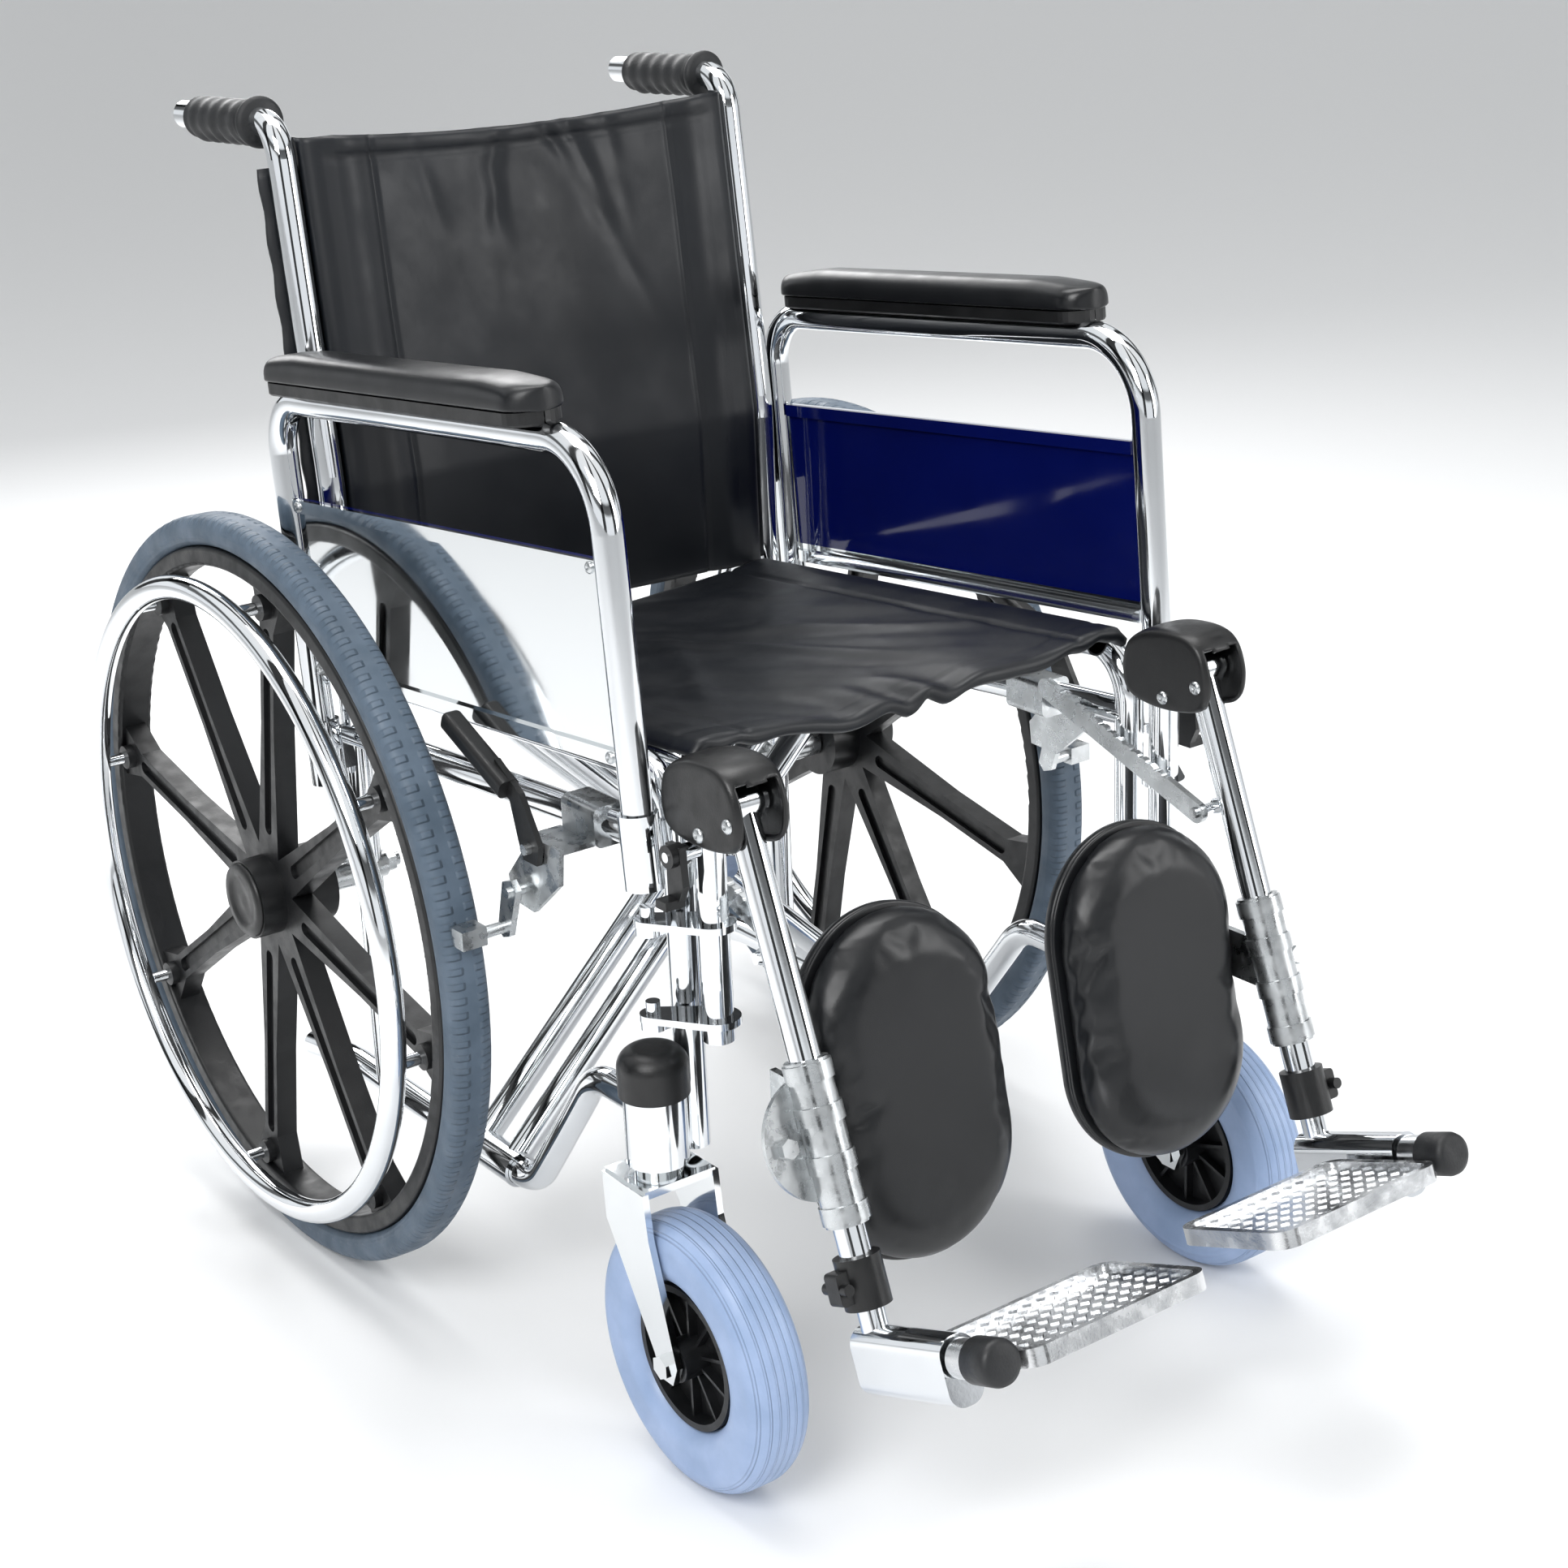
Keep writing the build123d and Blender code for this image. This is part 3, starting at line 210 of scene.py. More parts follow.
def make_vinyl(name, color, rough, grain=620, weave=0.0001):
    """Grained coated fabric: fine cells over a soft unevenness, with broad tone changes."""
    s = Shader(name, color, rough, Specular_IOR_Level=0.45)
    s.tint(s.noise(5, 6, 0.6), tuple(c * 0.75 for c in color), tuple(c * 1.4 for c in color), 0.3, 0.7)
    s.vary_rough(s.noise(22, 6), rough - 0.05, rough + 0.09)
    s.bump(s.noise(26, 3, 0.5), 0.0006, 0.35)
    s.bump(s.cells(grain, "DISTANCE_TO_EDGE"), weave, 0.45)
    return s.mat


def wheel_angle(s, y, z):
    """Angle round an axle, as a socket."""
    out = s.axes()
    across = s.math("SUBTRACT", out["Y"], y)
    up = s.math("SUBTRACT", out["Z"], z)
    angle = s.math("ARCTAN2", up, across)
    radius = s.math("SQRT", s.math("ADD", s.math("MULTIPLY", across, across), s.math("MULTIPLY", up, up)))
    return angle, radius, s.math("ABSOLUTE", out["X"])


def make_rear_tyre():
    """Grey tyre: cross ribs over the tread, broken along the middle, and smooth sidewalls."""
    s = Shader("rear tyre rubber", (0.075, 0.108, 0.148), 0.55)
    angle, radius, across = wheel_angle(s, AXLE_Y, AXLE_Z)
    ribs = s.math("SINE", s.math("MULTIPLY", angle, 170.0))
    ribs = s.ramp(ribs, 0, 1, -0.2, 0.5)
    off = s.math("ABSOLUTE", s.math("SUBTRACT", across, 0.287))
    band = s.math("MULTIPLY", s.ramp(off, 0, 1, 0.004, 0.006), s.ramp(off, 1, 0, 0.013, 0.0165))
    tread = s.math("MULTIPLY", band, s.ramp(radius, 0, 1, 0.2925, 0.2965))
    s.bump(s.math("MULTIPLY", ribs, tread), 0.0016, 1.0)
    lines = s.math("SINE", s.math("MULTIPLY", radius, 1900.0))
    s.bump(s.math("MULTIPLY", lines, s.ramp(radius, 1, 0, 0.287, 0.291)), 0.0002, 0.5)
    s.tint(s.noise(30, 5), (0.062, 0.092, 0.128), (0.095, 0.132, 0.178))
    s.vary_rough(s.noise(50, 4), 0.45, 0.68)
    s.bump(s.noise(900, 3), 0.0001, 0.4)
    return s.mat


def make_caster_tyre():
    """Pale blue tyre with fine grooves running round it."""
    s = Shader("caster tyre rubber", (0.30, 0.40, 0.60), 0.42)
    angle, radius, across = wheel_angle(s, -0.253, 0.1)
    grooves = s.ramp(s.math("SINE", s.math("MULTIPLY", s.math("SUBTRACT", across, 0.238), 980.0)), 0, 1, 0.55, 0.95)
    s.bump(s.math("MULTIPLY", grooves, s.ramp(radius, 0, 1, 0.084, 0.09)), 0.0012, 0.9)
    s.tint(s.noise(22, 5), (0.265, 0.36, 0.55), (0.34, 0.44, 0.65))
    s.vary_rough(s.noise(40, 4), 0.34, 0.52)
    s.bump(s.noise(700, 3), 0.0001, 0.35)
    return s.mat


def make_skirt():
    """Polished sheet outside and glossy navy lacquer on the face towards the seat."""
    s = Shader("skirt sheet", (0.8, 0.82, 0.83), 0.05, 1.0)
    out = s.axes()
    inner = s.math("LESS_THAN", s.math("ABSOLUTE", out["X"]), 0.2362)
    height = s.math("ADD", out["Z"], s.math("MULTIPLY", out["Y"], math.tan(ARM_TILT)))
    navy = s.math("MULTIPLY", inner, s.math("GREATER_THAN", height, 0.5135))
    navy = s.math("MULTIPLY", navy, s.math("LESS_THAN", height, 0.66))
    shade = s.node("ShaderNodeMix", data_type="RGBA")
    s.link(s.noise(6, 4), shade.inputs["Factor"])
    shade.inputs[6].default_value = (0.001, 0.003, 0.055, 1)
    shade.inputs[7].default_value = (0.002, 0.006, 0.105, 1)
    s.tint(navy, (0.8, 0.82, 0.83), shade.outputs[2], 0.0, 1.0)
    s.link(s.math("SUBTRACT", 1.0, navy), s.bsdf.inputs["Metallic"])
    s.vary_rough(s.noise(12, 4), 0.03, 0.09)
    s.bump(s.noise(3.5, 2), 0.0012, 0.18)
    return s.mat


def make_footplate():
    """Cast plate: one alloy with uneven tone and roughness over the rim and the ridged floor alike."""
    s = Shader("footplate alloy", (0.70, 0.71, 0.72), 0.22, 1.0)
    s.tint(s.noise(35, 6), (0.56, 0.57, 0.58), (0.80, 0.81, 0.82))
    s.vary_rough(s.noise(70, 6), 0.12, 0.34)
    s.bump(s.noise(420, 4), 0.0002, 0.5)
    return s.mat


CHROME = make_chrome("frame chrome")
HOOP = make_chrome("handrim chrome", (0.84, 0.86, 0.88), (0.03, 0.08))
FORK = make_chrome("fork chrome", (0.80, 0.82, 0.83), (0.05, 0.16))
ZINC = make_zinc("zinc plate", (0.60, 0.62, 0.63), 0.26)
MAG = make_plastic("wheel nylon", (0.0050, 0.0054, 0.0062), 0.40)
MOULD = make_plastic("black moulding", (0.0052, 0.0054, 0.0058), 0.36)
GRIP = make_plastic("grip rubber", (0.0075, 0.0082, 0.0095), 0.50, 500, 0.00015)
REAR_RUBBER = make_rear_tyre()
CASTER_RUBBER = make_caster_tyre()
SKIRT = make_skirt()
PLATE = make_footplate()
PAD = make_vinyl("pad vinyl", (0.0050, 0.0056, 0.0068), 0.33, 900)
SLING = make_vinyl("sling vinyl", (0.0030, 0.0042, 0.0065), 0.42, 1300)
THREAD = make_plastic("seam thread", (0.02, 0.021, 0.024), 0.6, 2500)

FINISH = {
    "side_frame": CHROME, "back_cane": CHROME, "armrest_frame": CHROME, "hanger_frame": CHROME,
    "leg_tube": CHROME, "foot_tube": CHROME, "cross_member_a": CHROME, "cross_member_b": CHROME,
    "handrim": HOOP, "caster_fork": FORK, "rear_axle": ZINC, "calf_bracket": ZINC, "ratchet_bar": ZINC,
    "brake_bracket": ZINC, "brake_shoe": ZINC, "mag_wheel": MAG, "caster_hub": MAG, "seat_saddles": MOULD,
    "stem_cap": MOULD, "hanger_head": MOULD, "leg_clamp": MOULD, "release_lever": MOULD,
    "brake_lever": MOULD, "push_grip": GRIP, "rear_tyre": REAR_RUBBER, "caster_tyre": CASTER_RUBBER,
    "skirt_panel": SKIRT, "footplate": PLATE, "arm_pad": PAD, "calf_pad": PAD, "seat_sling": SLING,
    "back_sling": SLING,
}


def paint(obj, mat):
    obj.data.materials.clear()
    obj.data.materials.append(mat)


for name, obj in nodes.items():
    paint(obj, FINISH[name.replace("_left", "").replace("_right", "")])


# ------------------------------------------------------------------ mesh helpers
def make_object(name, bm, mat, smooth=True):
    bmesh.ops.recalc_face_normals(bm, faces=bm.faces)
    data = bpy.data.meshes.new(name)
    bm.to_mesh(data)
    bm.free()
    obj = bpy.data.objects.new(name, data)
    bpy.context.scene.collection.objects.link(obj)
    data.materials.append(mat)
    if smooth:
        data.polygons.foreach_set("use_smooth", [True] * len(data.polygons))
    return obj


def bake(obj):
    """Applies an object's modifiers to its mesh."""
    bpy.context.view_layer.update()
    graph = bpy.context.evaluated_depsgraph_get()
    data = bpy.data.meshes.new_from_object(obj.evaluated_get(graph))
    obj.modifiers.clear()
    obj.data = data
    return obj


def grid_mesh(rows, closed_rows=False, closed_columns=False, caps=False):
    """A bmesh from rows of points."""
    bm = bmesh.new()
    made = [[bm.verts.new(p) for p in row] for row in rows]
    height, width = len(made), len(made[0])
    for i in range(height if closed_columns else height - 1):
        for j in range(width if closed_rows else width - 1):
            a, b = made[i][j], made[i][(j + 1) % width]
            c, d = made[(i + 1) % height][(j + 1) % width], made[(i + 1) % height][j]
            bm.faces.new((a, b, c, d))
    if caps:
        bm.faces.new(made[0])
        bm.faces.new(made[-1])
    return bm


def lathe(profile, origin, axis, sides=40):
    """Turns (distance along the axis, radius) points round an axis."""
    turn = Vector(axis).normalized().to_track_quat("Z", "Y")
    rows = []
    for along, radius in profile:
        ring = [(2 * math.pi * k / sides) for k in range(sides)]
        rows.append([Vector(origin) + turn @ Vector((radius * math.cos(a), radius * math.sin(a), along)) for a in ring])
    return grid_mesh(rows, closed_rows=True, caps=True)


def join(bms):
    """Joins several bmeshes into the first."""
    whole = bms[0]
    for other in bms[1:]:
        data = bpy.data.meshes.new("part")
        other.to_mesh(data)
        other.free()
        whole.from_mesh(data)
        bpy.data.meshes.remove(data)
    return whole


def mirrored(obj, name):
    """The same piece on the other side of the chair."""
    data = obj.data.copy()
    data.transform(Matrix.Scale(-1, 4, (1, 0, 0)))
    data.flip_normals()
    copy = bpy.data.objects.new(name, data)
    bpy.context.scene.collection.objects.link(copy)
    return copy


def both_sides(obj, stem, body, replaced=None):
    """Names a left-hand piece, adds its mirror image and ties each to its body."""
    obj.name = f"{stem}_left"
    for side, piece in (("left", obj), ("right", mirrored(obj, f"{stem}_right"))):
        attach(piece, f"{body}_{side}")
        if replaced:
            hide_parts(f"{replaced}_{side}")


def screw_head(place, axis, radius, height):
    """A domed screw head with a round recess in its top."""
    profile = [(-0.001, radius), (height * 0.35, radius), (height * 0.75, radius * 0.82), (height, radius * 0.45)]
    profile += [(height * 0.98, radius * 0.32), (height * 0.55, radius * 0.22)]
    return lathe(profile, place, axis, 24)


# ------------------------------------------------------------------ back upholstery
def sling_noise(x, z, seed, scale):
    return noise.noise(Vector((x * scale, z * scale, seed)))


def back_surface(x, z, low, high):
    """Front sheet of the back: slack between the canes, creased near its top edge, with a raised side seam."""
    u, v = min(1.0, abs(x) / 0.170), (z - low) / (high - low)
    slack = 0.009 * (1 - u ** 2.4) * (0.6 + 0.4 * v)
    near_top = math.exp(-((high - z) / 0.10) ** 2)
    crease = 0.0
    for k, (place, lean, size) in enumerate(BACK_CREASES):
        offset = x - place - lean * (high - z)
        ripple = 0.55 + 0.9 * noise.noise(Vector((k * 3.1, z * 34, 3)))
        crease += size * near_top * math.exp(-(offset / 0.008) ** 2) * ripple
    broad = 0.0026 * noise.noise(Vector((x * 16, z * 6, 4))) + 0.0014 * noise.noise(Vector((x * 34, z * 20, 9))) * near_top
    groove = 0.0020 * math.exp(-((abs(x) - SEAM_X) / 0.0022) ** 2)
    roll = 0.0030 * math.exp(-((abs(x) - SEAM_X - 0.020) / 0.013) ** 2)
    return cane_y(z) - 0.0135 + slack + (crease + broad) * (1 - u ** 6) + groove - roll


def make_back():
    """Sheet held inside both canes, with a hem that wraps each and is screwed down behind it."""
    low, high, columns, steps = 0.488, 0.883, 150, 96
    edge = [(0.1925, 0.004), (0.1928, -0.004), (0.1912, -0.0100), (0.187, -0.0135), (0.179, -0.0145)]
    inner = [0.170 - 0.34 * k / columns for k in range(columns + 1)]
    rows = []
    for i in range(steps + 1):
        v = i / steps
        z = low + (high - low) * v
        row = [Vector((x, cane_y(z) + off, z)) for x, off in edge]
        for x in inner:
            u = abs(x) / 0.170
            hem = 0.0022 * math.exp(-((high - z - 0.006) / 0.006) ** 2) - 0.0016 * math.exp(-((high - z - 0.016) / 0.002) ** 2)
            row.append(Vector((x, back_surface(x, z, low, high) - hem, z - 0.009 * (1 - u * u) * v ** 8)))
        row += [Vector((-x, cane_y(z) + off, z)) for x, off in reversed(edge)]
        rows.append(row)
    parts = [grid_mesh(rows)]
    flap = [(0.1925, 0.002), (0.1935, 0.0115), (0.199, 0.0146), (0.210, 0.0150), (0.2205, 0.0140)]
    for side in (-1, 1):
        heights = [0.546 + 0.315 * i / 40 for i in range(41)]
        wave = [0.0008 * math.sin(z * 150) for z in heights]
        parts.append(grid_mesh([[Vector((side * (x + w), cane_y(z) + off, z)) for x, off in flap] for z, w in zip(heights, wave)]))
    obj = make_object("back_upholstery", join(parts), SLING)
    thick = obj.modifiers.new("thick", "SOLIDIFY")
    thick.thickness, thick.offset = 0.0026, 0
    return bake(obj)


SEAM_X = 0.137
BACK_CREASES = (
    (0.045, 0.32, 0.0046), (-0.020, -0.16, 0.0048), (-0.034, 0.10, 0.0036),
    (0.080, 0.12, 0.0026), (0.022, 0.50, 0.0034), (-0.100, 0.24, 0.0022),
)
back = make_back()
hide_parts("back_sling")
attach(back, "frame_right")
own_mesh(back)


# ------------------------------------------------------------------ seat upholstery
def seat_height(x, y):
    """Top surface of the seat fabric: taut over the rails, slack between them."""
    over_rail = rail_z(y) + 0.0065 + 0.011 + 0.0012
    u = min(1.0, abs(x) / 0.172)
    sag = 0.011 * (1 - u ** 2.2)
    front = math.exp(-((y + 0.214) / 0.05) ** 2)
    wave = 0.0028 * noise.noise(Vector((x * 13, y * 7, 1.5))) + 0.0016 * noise.noise(Vector((x * 30 + y * 22, y * 9, 6)))
    fan = 0.0032 * front * math.sin(x * 95 + 2 * math.sin(x * 31)) * (1 - u ** 3)
    ridge = 0.0
    for place, lean, size in ((-0.08, 0.5, 0.0032), (0.03, -0.4, 0.0034), (0.11, -0.75, 0.0026), (-0.13, 0.2, 0.002)):
        d = x - place - lean * (y + 0.05)
        ridge += size * math.exp(-(d / 0.012) ** 2) * math.exp(-((y + 0.02) / 0.13) ** 2)
    return over_rail - sag + (wave + fan + ridge) * (1 - u ** 4)


def make_seat():
    """Sheet screwed to both seat rails, with a hem turned under at the front."""
    columns, steps = 120, 110
    rows = []
    hem = [(-0.2025, -0.0085), (-0.2105, -0.0088), (-0.2145, -0.0062), (-0.2150, -0.0025)]
    for j in range(steps + 1 + len(hem)):
        row = []
        for i in range(columns + 1):
            x = 0.196 - 0.392 * i / columns
            if j < len(hem):
                y, drop = hem[j]
                wob = 0.0016 * math.sin(x * 120 + 3 * math.sin(x * 37))
                z = seat_height(x, -0.212) + drop + wob
            else:
                v = (j - len(hem)) / steps
                y = -0.212 + 0.436 * v
                z = seat_height(x, y)
                z -= 0.0020 * math.exp(-((y + 0.190) / 0.0018) ** 2)
                z -= 0.0016 * math.exp(-((abs(x) - 0.150) / 0.0022) ** 2)
            edge = max(0.0, abs(x) - 0.183)
            z -= 0.011 - math.sqrt(max(0.0, 0.011 ** 2 - min(edge, 0.0108) ** 2))
            row.append(Vector((x, y, z)))
        rows.append(row)
    obj = make_object("seat_upholstery", grid_mesh(rows), SLING)
    thick = obj.modifiers.new("thick", "SOLIDIFY")
    thick.thickness, thick.offset = 0.0024, 0
    return bake(obj)


seat = make_seat()
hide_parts("seat_sling")
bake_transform(seat)
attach(seat, "brace_a")


# ------------------------------------------------------------------ pads
def slot_ring(centre, right, up, half_width, half_height, count=96):
    """Points round an oblong with round ends, longer along up or right."""
    points = []
    radius = min(half_width, half_height)
    straight_r, straight_u = half_width - radius, half_height - radius
    for k in range(count):
        a = 2 * math.pi * k / count
        c, s = math.cos(a), math.sin(a)
        points.append(centre + right * (radius * c + math.copysign(straight_r, c)) + up * (radius * s + math.copysign(straight_u, s)))
    return points


def calf_axes():
    """Middle of the left calf pad, and its right, outward and up directions."""
    out = Vector((0, -math.cos(CALF_TILT), math.sin(CALF_TILT)))
    up = Vector((0, math.sin(CALF_TILT), math.cos(CALF_TILT)))
    return Vector((0.1125, -0.334, 0.293)), Vector((1, 0, 0)), out, up


def oblong(profile, half_width, half_height):
    """A closed solid from (depth, inset) rings on the calf pad's oblong."""
    centre, right, out, up = calf_axes()
    rings = []
    for depth, inset in profile:
        rings.append(slot_ring(centre + out * depth, right, up, half_width - inset, half_height - inset))
    return grid_mesh(rings, closed_rows=True, caps=True)


def make_calf_pad():
    """Cushion with a full crown, before it is swelled."""
    profile = [(-0.013, 0.002), (-0.006, 0.0), (0.002, 0.0015), (0.009, 0.006), (0.0140, 0.013), (0.0165, 0.022)]
    return make_object("calf_cushion", oblong(profile, 0.0790, 0.1235), PAD)


def make_calf_board():
    """Back board of the pad, with the welt that joins it to the cushion."""
    board = [(-0.0218, 0.006), (-0.0218, 0.0032), (-0.0205, 0.0016), (-0.0160, 0.0010), (-0.0135, 0.0018)]
    welt = []
    for k in range(13):
        a = math.pi * k / 12
        welt.append((-0.0120 - 0.0017 * math.cos(a), 0.0010 - 0.0016 * math.sin(a)))
    return make_object("calf_board", join([oblong(board, 0.0805, 0.125), oblong(welt, 0.0790, 0.1235)]), PAD)


def puff(obj, frames, pressure, cap, voxel):
    """Swells a pad as cloth, keeps each point within cap of where it was, and smooths the result."""
    remesh = obj.modifiers.new("remesh", "REMESH")
    remesh.mode, remesh.voxel_size = "VOXEL", voxel
    bake(obj)
    count = len(obj.data.vertices)
    rest = np.empty(count * 3)
    obj.data.vertices.foreach_get("co", rest)
    cloth = obj.modifiers.new("cloth", "CLOTH")
    cloth.settings.use_pressure = True
    cloth.settings.uniform_pressure_force = pressure
    cloth.settings.effector_weights.gravity = 0
    cloth.settings.tension_stiffness = cloth.settings.compression_stiffness = 25
    scene = bpy.context.scene
    for number in range(1, frames + 1):
        scene.frame_set(number)
    bake(obj)
    moved = np.empty(count * 3)
    obj.data.vertices.foreach_get("co", moved)
    step = (moved - rest).reshape(-1, 3)
    length = np.linalg.norm(step, axis=1, keepdims=True)
    step *= np.minimum(1.0, cap / np.maximum(length, 1e-9))
    obj.data.vertices.foreach_set("co", (rest.reshape(-1, 3) + step).ravel())
    scene.frame_set(1)
    soft = obj.modifiers.new("soft", "SUBSURF")
    soft.levels = soft.render_levels = 1
    bake(obj)
    obj.data.polygons.foreach_set("use_smooth", [True] * len(obj.data.polygons))


calf = make_calf_pad()
puff(calf, 20, 4.0, 0.0040, 0.005)
both_sides(calf, "calf_cushion", "calf", "calf_pad")
both_sides(make_calf_board(), "calf_board", "calf")


def make_arm_pad():
    """Moulded armrest: a crowned top that narrows to a flat base, with blunt round ends."""
    start, end, middle_x = 0.051, 0.431, 0.241
    steps, sides = 60, 44
    rings = []
    for i in range(steps + 1):
        t = i / steps
        along = start + (end - start) * (0.5 - 0.5 * math.cos(math.pi * t))
        gap = min(along - start, end - along)
        plan = math.sqrt(max(0.0, 1 - (1 - min(1, gap / 0.020)) ** 2)) * 0.96 + 0.04
        crown = 0.62 + 0.38 * min(1.0, gap / 0.055) ** 0.5
        ring = []
        for k in range(sides):
            a = 2 * math.pi * k / sides
            c, s = math.cos(a), math.sin(a)
            wide = 0.023 * plan * math.copysign(abs(c) ** 0.55, c)
            if s >= 0:
                tall = 0.016 + 0.019 * crown * s ** 0.75
            else:
                tall = 0.016 - 0.003 * abs(s) ** 0.6
            ring.append(arm_point(along, 0.250 + tall, middle_x + wide))
        rings.append(ring)
    return make_object("arm_cushion", grid_mesh(rings, closed_rows=True, caps=True), PAD)


def make_arm_base():
    """Plastic base under the armrest pad, hugging its tube."""
    start, end, middle_x = 0.054, 0.428, 0.241
    steps = 50
    rings = []
    for i in range(steps + 1):
        t = i / steps
        along = start + (end - start) * (0.5 - 0.5 * math.cos(math.pi * t))
        gap = min(along - start, end - along)
        plan = math.sqrt(max(0.0, 1 - (1 - min(1, gap / 0.018)) ** 2)) * 0.96 + 0.04
        outline = [(-1, 0.0130), (1, 0.0130), (1, 0.005), (0.93, 0.0035), (0.50, 0.0035), (0.42, 0.0125), (-0.72, 0.0125), (-0.80, 0.0035), (-0.93, 0.0035), (-1, 0.005)]
        rings.append([arm_point(along, 0.250 + tall, middle_x + 0.0215 * plan * wide) for wide, tall in outline])
    obj = make_object("arm_base", grid_mesh(rings, closed_rows=True, caps=True), MOULD, smooth=False)
    return obj


both_sides(make_arm_pad(), "arm_cushion", "armrest", "arm_pad")
both_sides(make_arm_base(), "arm_base", "armrest")


# ------------------------------------------------------------------ small hardware
def smooth_loop(points, count):
    """A closed smooth curve through points, as (y, z) pairs."""
    loop = []
    size = len(points)
    for k in range(count):
        t = k * size / count
        i, f = int(t), t - int(t)
        a, b, c, d = (Vector(points[(i + step) % size]) for step in (-1, 0, 1, 2))
        loop.append(0.5 * ((2 * b) + (c - a) * f + (2 * a - 5 * b + 4 * c - d) * f * f + (3 * b - a - 3 * c + d) * f ** 3))
    return loop


def make_hood():
    """Moulded knee cover: a rounded saddle, open in front and below where the leg comes out."""
    y, z = KNEE
    outline = [(62, -12), (57, 14), (32, 28.5), (-2, 31), (-21, 21), (-29, -4), (-20, -25), (18, -33), (52, -28)]
    loop = smooth_loop([(y + a * 0.001, z + b * 0.001) for a, b in outline], 90)
    middle = sum(loop, Vector((0, 0))) / len(loop)
    rings = []
    stations = 25
    for k in range(stations):
        a = math.pi * (k / (stations - 1) - 0.5)
        x = FRAME_X + 0.0218 * math.copysign(abs(math.sin(a)) ** 0.8, a)
        inset = 0.0085 * (1 - abs(math.cos(a)) ** 0.5)
        ring = []
        for point in loop:
            toward = middle - point
            ring.append((x, *(point + toward * inset / toward.length)))
        rings.append(ring)
    bm = grid_mesh(rings, closed_rows=True, caps=True)
    opening = []
    for face in bm.faces:
        place = face.calc_center_median()
        if len(face.verts) == 4 and abs(place.x - FRAME_X) < 0.0172:
            if place.z < z - 0.021 or (place.y < y - 0.012 and place.z < z + 0.020):
                opening.append(face)
    bmesh.ops.delete(bm, geom=opening, context="FACES")
    obj = make_object("knee_cover", bm, MOULD)
    shell = obj.modifiers.new("shell", "SOLIDIFY")
    shell.thickness, shell.offset = 0.0030, -1
    return bake(obj)


def make_grip():
    """Rubber handle: a flanged front ring, finger ridges underneath and a domed end."""
    start, end, sides = 0.306, 0.4155, 48
    rows = []
    steps = 150
    for i in range(steps + 1):
        t = i / steps
        y = start + (end - start) * t
        swell = 0.0034 * math.exp(-((t - 0.035) / 0.030) ** 4) - 0.0022 * math.exp(-((t - 0.115) / 0.022) ** 2)
        close = math.sqrt(max(0.0, 1 - max(0.0, (t - 0.955) / 0.045) ** 2)) * 0.9 + 0.1
        fingers = math.sin(2 * math.pi * 5 * (t - 0.16) / 0.80) if 0.16 < t < 0.96 else 0.0
        row = []
        for k in range(sides):
            a = 2 * math.pi * k / sides
            under = max(0.0, -math.sin(a)) ** 1.5
            radius = (0.0162 + swell + 0.0019 * fingers * under + 0.0004 * fingers) * close
            row.append((FRAME_X + radius * math.cos(a), y, GRIP_Z - 0.021 * (y - start) + radius * math.sin(a)))
        rows.append(row)
    return make_object("hand_grip", grid_mesh(rows, closed_rows=True, caps=True), GRIP)


def make_hood_rivets():
    parts = []
    for side in (-1, 1):
        for y, z in ((-0.299, 0.497), (-0.266, 0.482)):
            parts.append(screw_head((FRAME_X + side * 0.0214, y, z), (side, 0, 0), 0.0052, 0.0030))
    return make_object("hood_rivets", join(parts), ZINC)


def make_foot_caps():
    profile = [(0, 0.012), (0.001, 0.0152), (0.022, 0.0154), (0.0255, 0.0142), (0.0268, 0.011), (0.027, 0.004)]
    bm = lathe(profile, leg_point(0.364, 0.104), LEG_FORWARD)
    return make_object("foot_pivot_cap", bm, GRIP)


def make_skirt_screws():
    parts = []
    for along in (0.020, 0.438):
        for height in (0.035, 0.163):
            parts.append(screw_head(arm_point(along, height, 0.2402), (1, 0, 0), 0.0042, 0.0022))
    return make_object("skirt_screws", join(parts), ZINC)


def make_hub_cap():
    profile = [(0, 0.0305), (0.002, 0.0300), (0.004, 0.0285), (0.0045, 0.021), (0.0030, 0.0195), (0.0030, 0.0060), (0.0035, 0.003)]
    return make_object("hub_cap", lathe(profile, (0.3155, AXLE_Y, AXLE_Z), (1, 0, 0), 56), MOULD)


both_sides(make_hood(), "knee_cover", "hanger", "hanger_head")
both_sides(make_grip(), "hand_grip", "frame", "push_grip")
both_sides(make_hood_rivets(), "hood_rivets", "hanger")
both_sides(make_foot_caps(), "foot_pivot_cap", "foot")
both_sides(make_skirt_screws(), "skirt_screws", "armrest")
both_sides(make_hub_cap(), "hub_cap", "wheel")


# ------------------------------------------------------------------ floor, light and camera
def make_floor():
    bm = bmesh.new()
    bmesh.ops.create_grid(bm, x_segments=2, y_segments=2, size=40)
    floor = make_object("floor", bm, Shader("floor", (0.86, 0.865, 0.87), 0.6).mat, smooth=False)
    floor.location.z = -0.0006


def make_light(name, place, target, size, energy, color=(1, 1, 1)):
    data = bpy.data.lights.new(name, "AREA")
    data.shape, data.size, data.size_y, data.energy, data.color = "RECTANGLE", size[0], size[1], energy, color
    obj = bpy.data.objects.new(name, data)
    obj.location = place
    obj.rotation_mode = "QUATERNION"
    obj.rotation_quaternion = (Vector(target) - Vector(place)).to_track_quat("-Z", "Y")
    bpy.context.scene.collection.objects.link(obj)


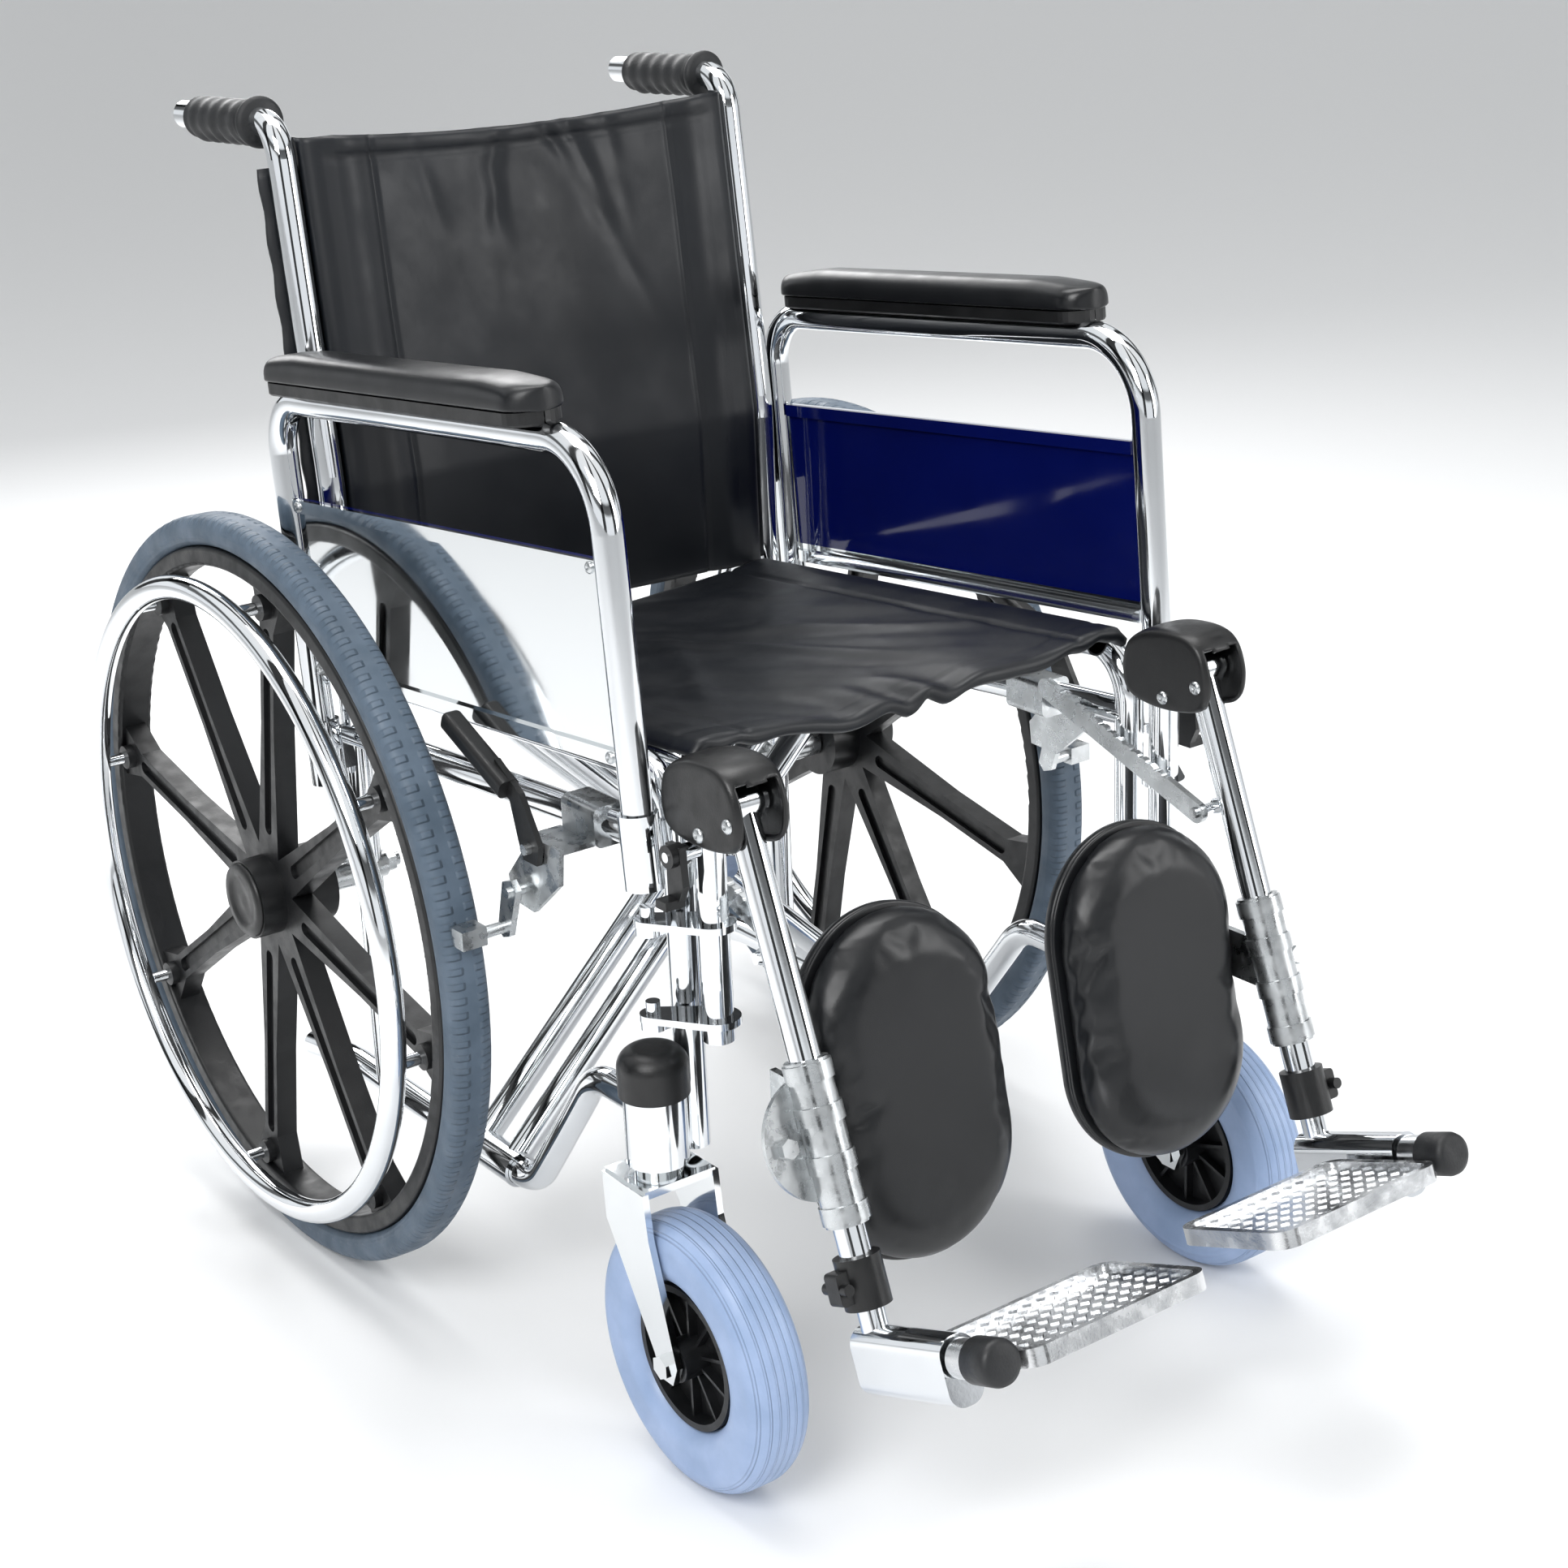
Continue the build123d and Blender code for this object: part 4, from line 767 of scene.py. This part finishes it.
def make_world():
    """White studio with dark upright flags, so the bright tubes show long dark streaks."""
    world = bpy.data.worlds.new("studio")
    bpy.context.scene.world = world
    world.use_nodes = True
    tree = world.node_tree
    background = tree.nodes["Background"]

    def calc(how, a, b=0.0):
        made = tree.nodes.new("ShaderNodeMath")
        made.operation = how
        for socket, value in zip(made.inputs, (a, b)):
            if isinstance(value, (int, float)):
                socket.default_value = value
            else:
                tree.links.new(value, socket)
        return made.outputs[0]

    split = tree.nodes.new("ShaderNodeSeparateXYZ")
    tree.links.new(tree.nodes.new("ShaderNodeTexCoord").outputs["Generated"], split.inputs[0])
    azimuth = calc("ARCTAN2", split.outputs["Y"], split.outputs["X"])
    wave = calc("SINE", calc("ADD", calc("MULTIPLY", azimuth, 5.0), 0.7))
    wave = calc("ADD", wave, calc("SINE", calc("ADD", calc("MULTIPLY", azimuth, 11.0), 2.0)))
    flags = tree.nodes.new("ShaderNodeMapRange")
    tree.links.new(wave, flags.inputs["Value"])
    for key, number in (("From Min", 0.45), ("From Max", 0.75), ("To Min", 1.0), ("To Max", 0.05)):
        flags.inputs[key].default_value = number
    ramp = tree.nodes.new("ShaderNodeValToRGB")
    tree.links.new(split.outputs["Z"], ramp.inputs[0])
    ramp.color_ramp.elements[0].color = (0.90, 0.92, 0.95, 1)
    ramp.color_ramp.elements[1].color = (1, 1, 1, 1)
    for position, tone in ((0.20, 0.95), (0.26, 0.16), (0.40, 0.10), (0.47, 0.95)):
        step = ramp.color_ramp.elements.new(position)
        step.color = (tone * 0.95, tone * 0.98, tone, 1)
    shade = tree.nodes.new("ShaderNodeMix")
    shade.data_type, shade.blend_type = "RGBA", "MULTIPLY"
    shade.inputs["Factor"].default_value = 1.0
    tree.links.new(ramp.outputs[0], shade.inputs[6])
    tree.links.new(flags.outputs[0], shade.inputs[7])
    path = tree.nodes.new("ShaderNodeLightPath")
    mix = tree.nodes.new("ShaderNodeMix")
    mix.data_type = "RGBA"
    tree.links.new(path.outputs["Is Camera Ray"], mix.inputs["Factor"])
    tree.links.new(shade.outputs[2], mix.inputs[6])
    mix.inputs[7].default_value = (1, 1, 1, 1)
    tree.links.new(mix.outputs[2], background.inputs[0])
    background.inputs[1].default_value = 1.0


def make_camera():
    """The photograph's own viewpoint: a long lens from the front right, with a slight roll."""
    yaw, pitch, roll = math.radians(35.85), math.radians(19.76), math.radians(-2.46)
    ahead = Vector((math.sin(yaw) * math.cos(pitch), math.cos(yaw) * math.cos(pitch), -math.sin(pitch)))
    right = Vector((math.cos(yaw), -math.sin(yaw), 0))
    up = right.cross(ahead)
    rolled_right = right * math.cos(roll) + up * math.sin(roll)
    rolled_up = up * math.cos(roll) - right * math.sin(roll)
    data = bpy.data.cameras.new("camera")
    data.sensor_width = 36
    data.lens = 3328.46 / 1932 * 36
    camera = bpy.data.objects.new("camera", data)
    rotation = Matrix((rolled_right, rolled_up, -ahead)).transposed().to_4x4()
    camera.matrix_world = Matrix.Translation((-1.1333, -1.6153, 1.0981)) @ rotation
    bpy.context.scene.collection.objects.link(camera)
    bpy.context.scene.camera = camera


bpy.context.scene.view_settings.view_transform = "Standard"
make_floor()
make_world()
make_light("key", (-2.4, -1.6, 2.6), (0, 0, 0.4), (1.6, 1.6), 75)
make_light("fill", (1.9, -2.3, 1.5), (0, 0, 0.4), (1.0, 1.8), 30)
make_light("top", (0.2, 0.4, 3.2), (0, 0, 0.3), (2.4, 1.4), 60)
make_light("back", (0.8, 2.6, 1.8), (0, 0, 0.5), (2.0, 1.0), 40)
make_camera()
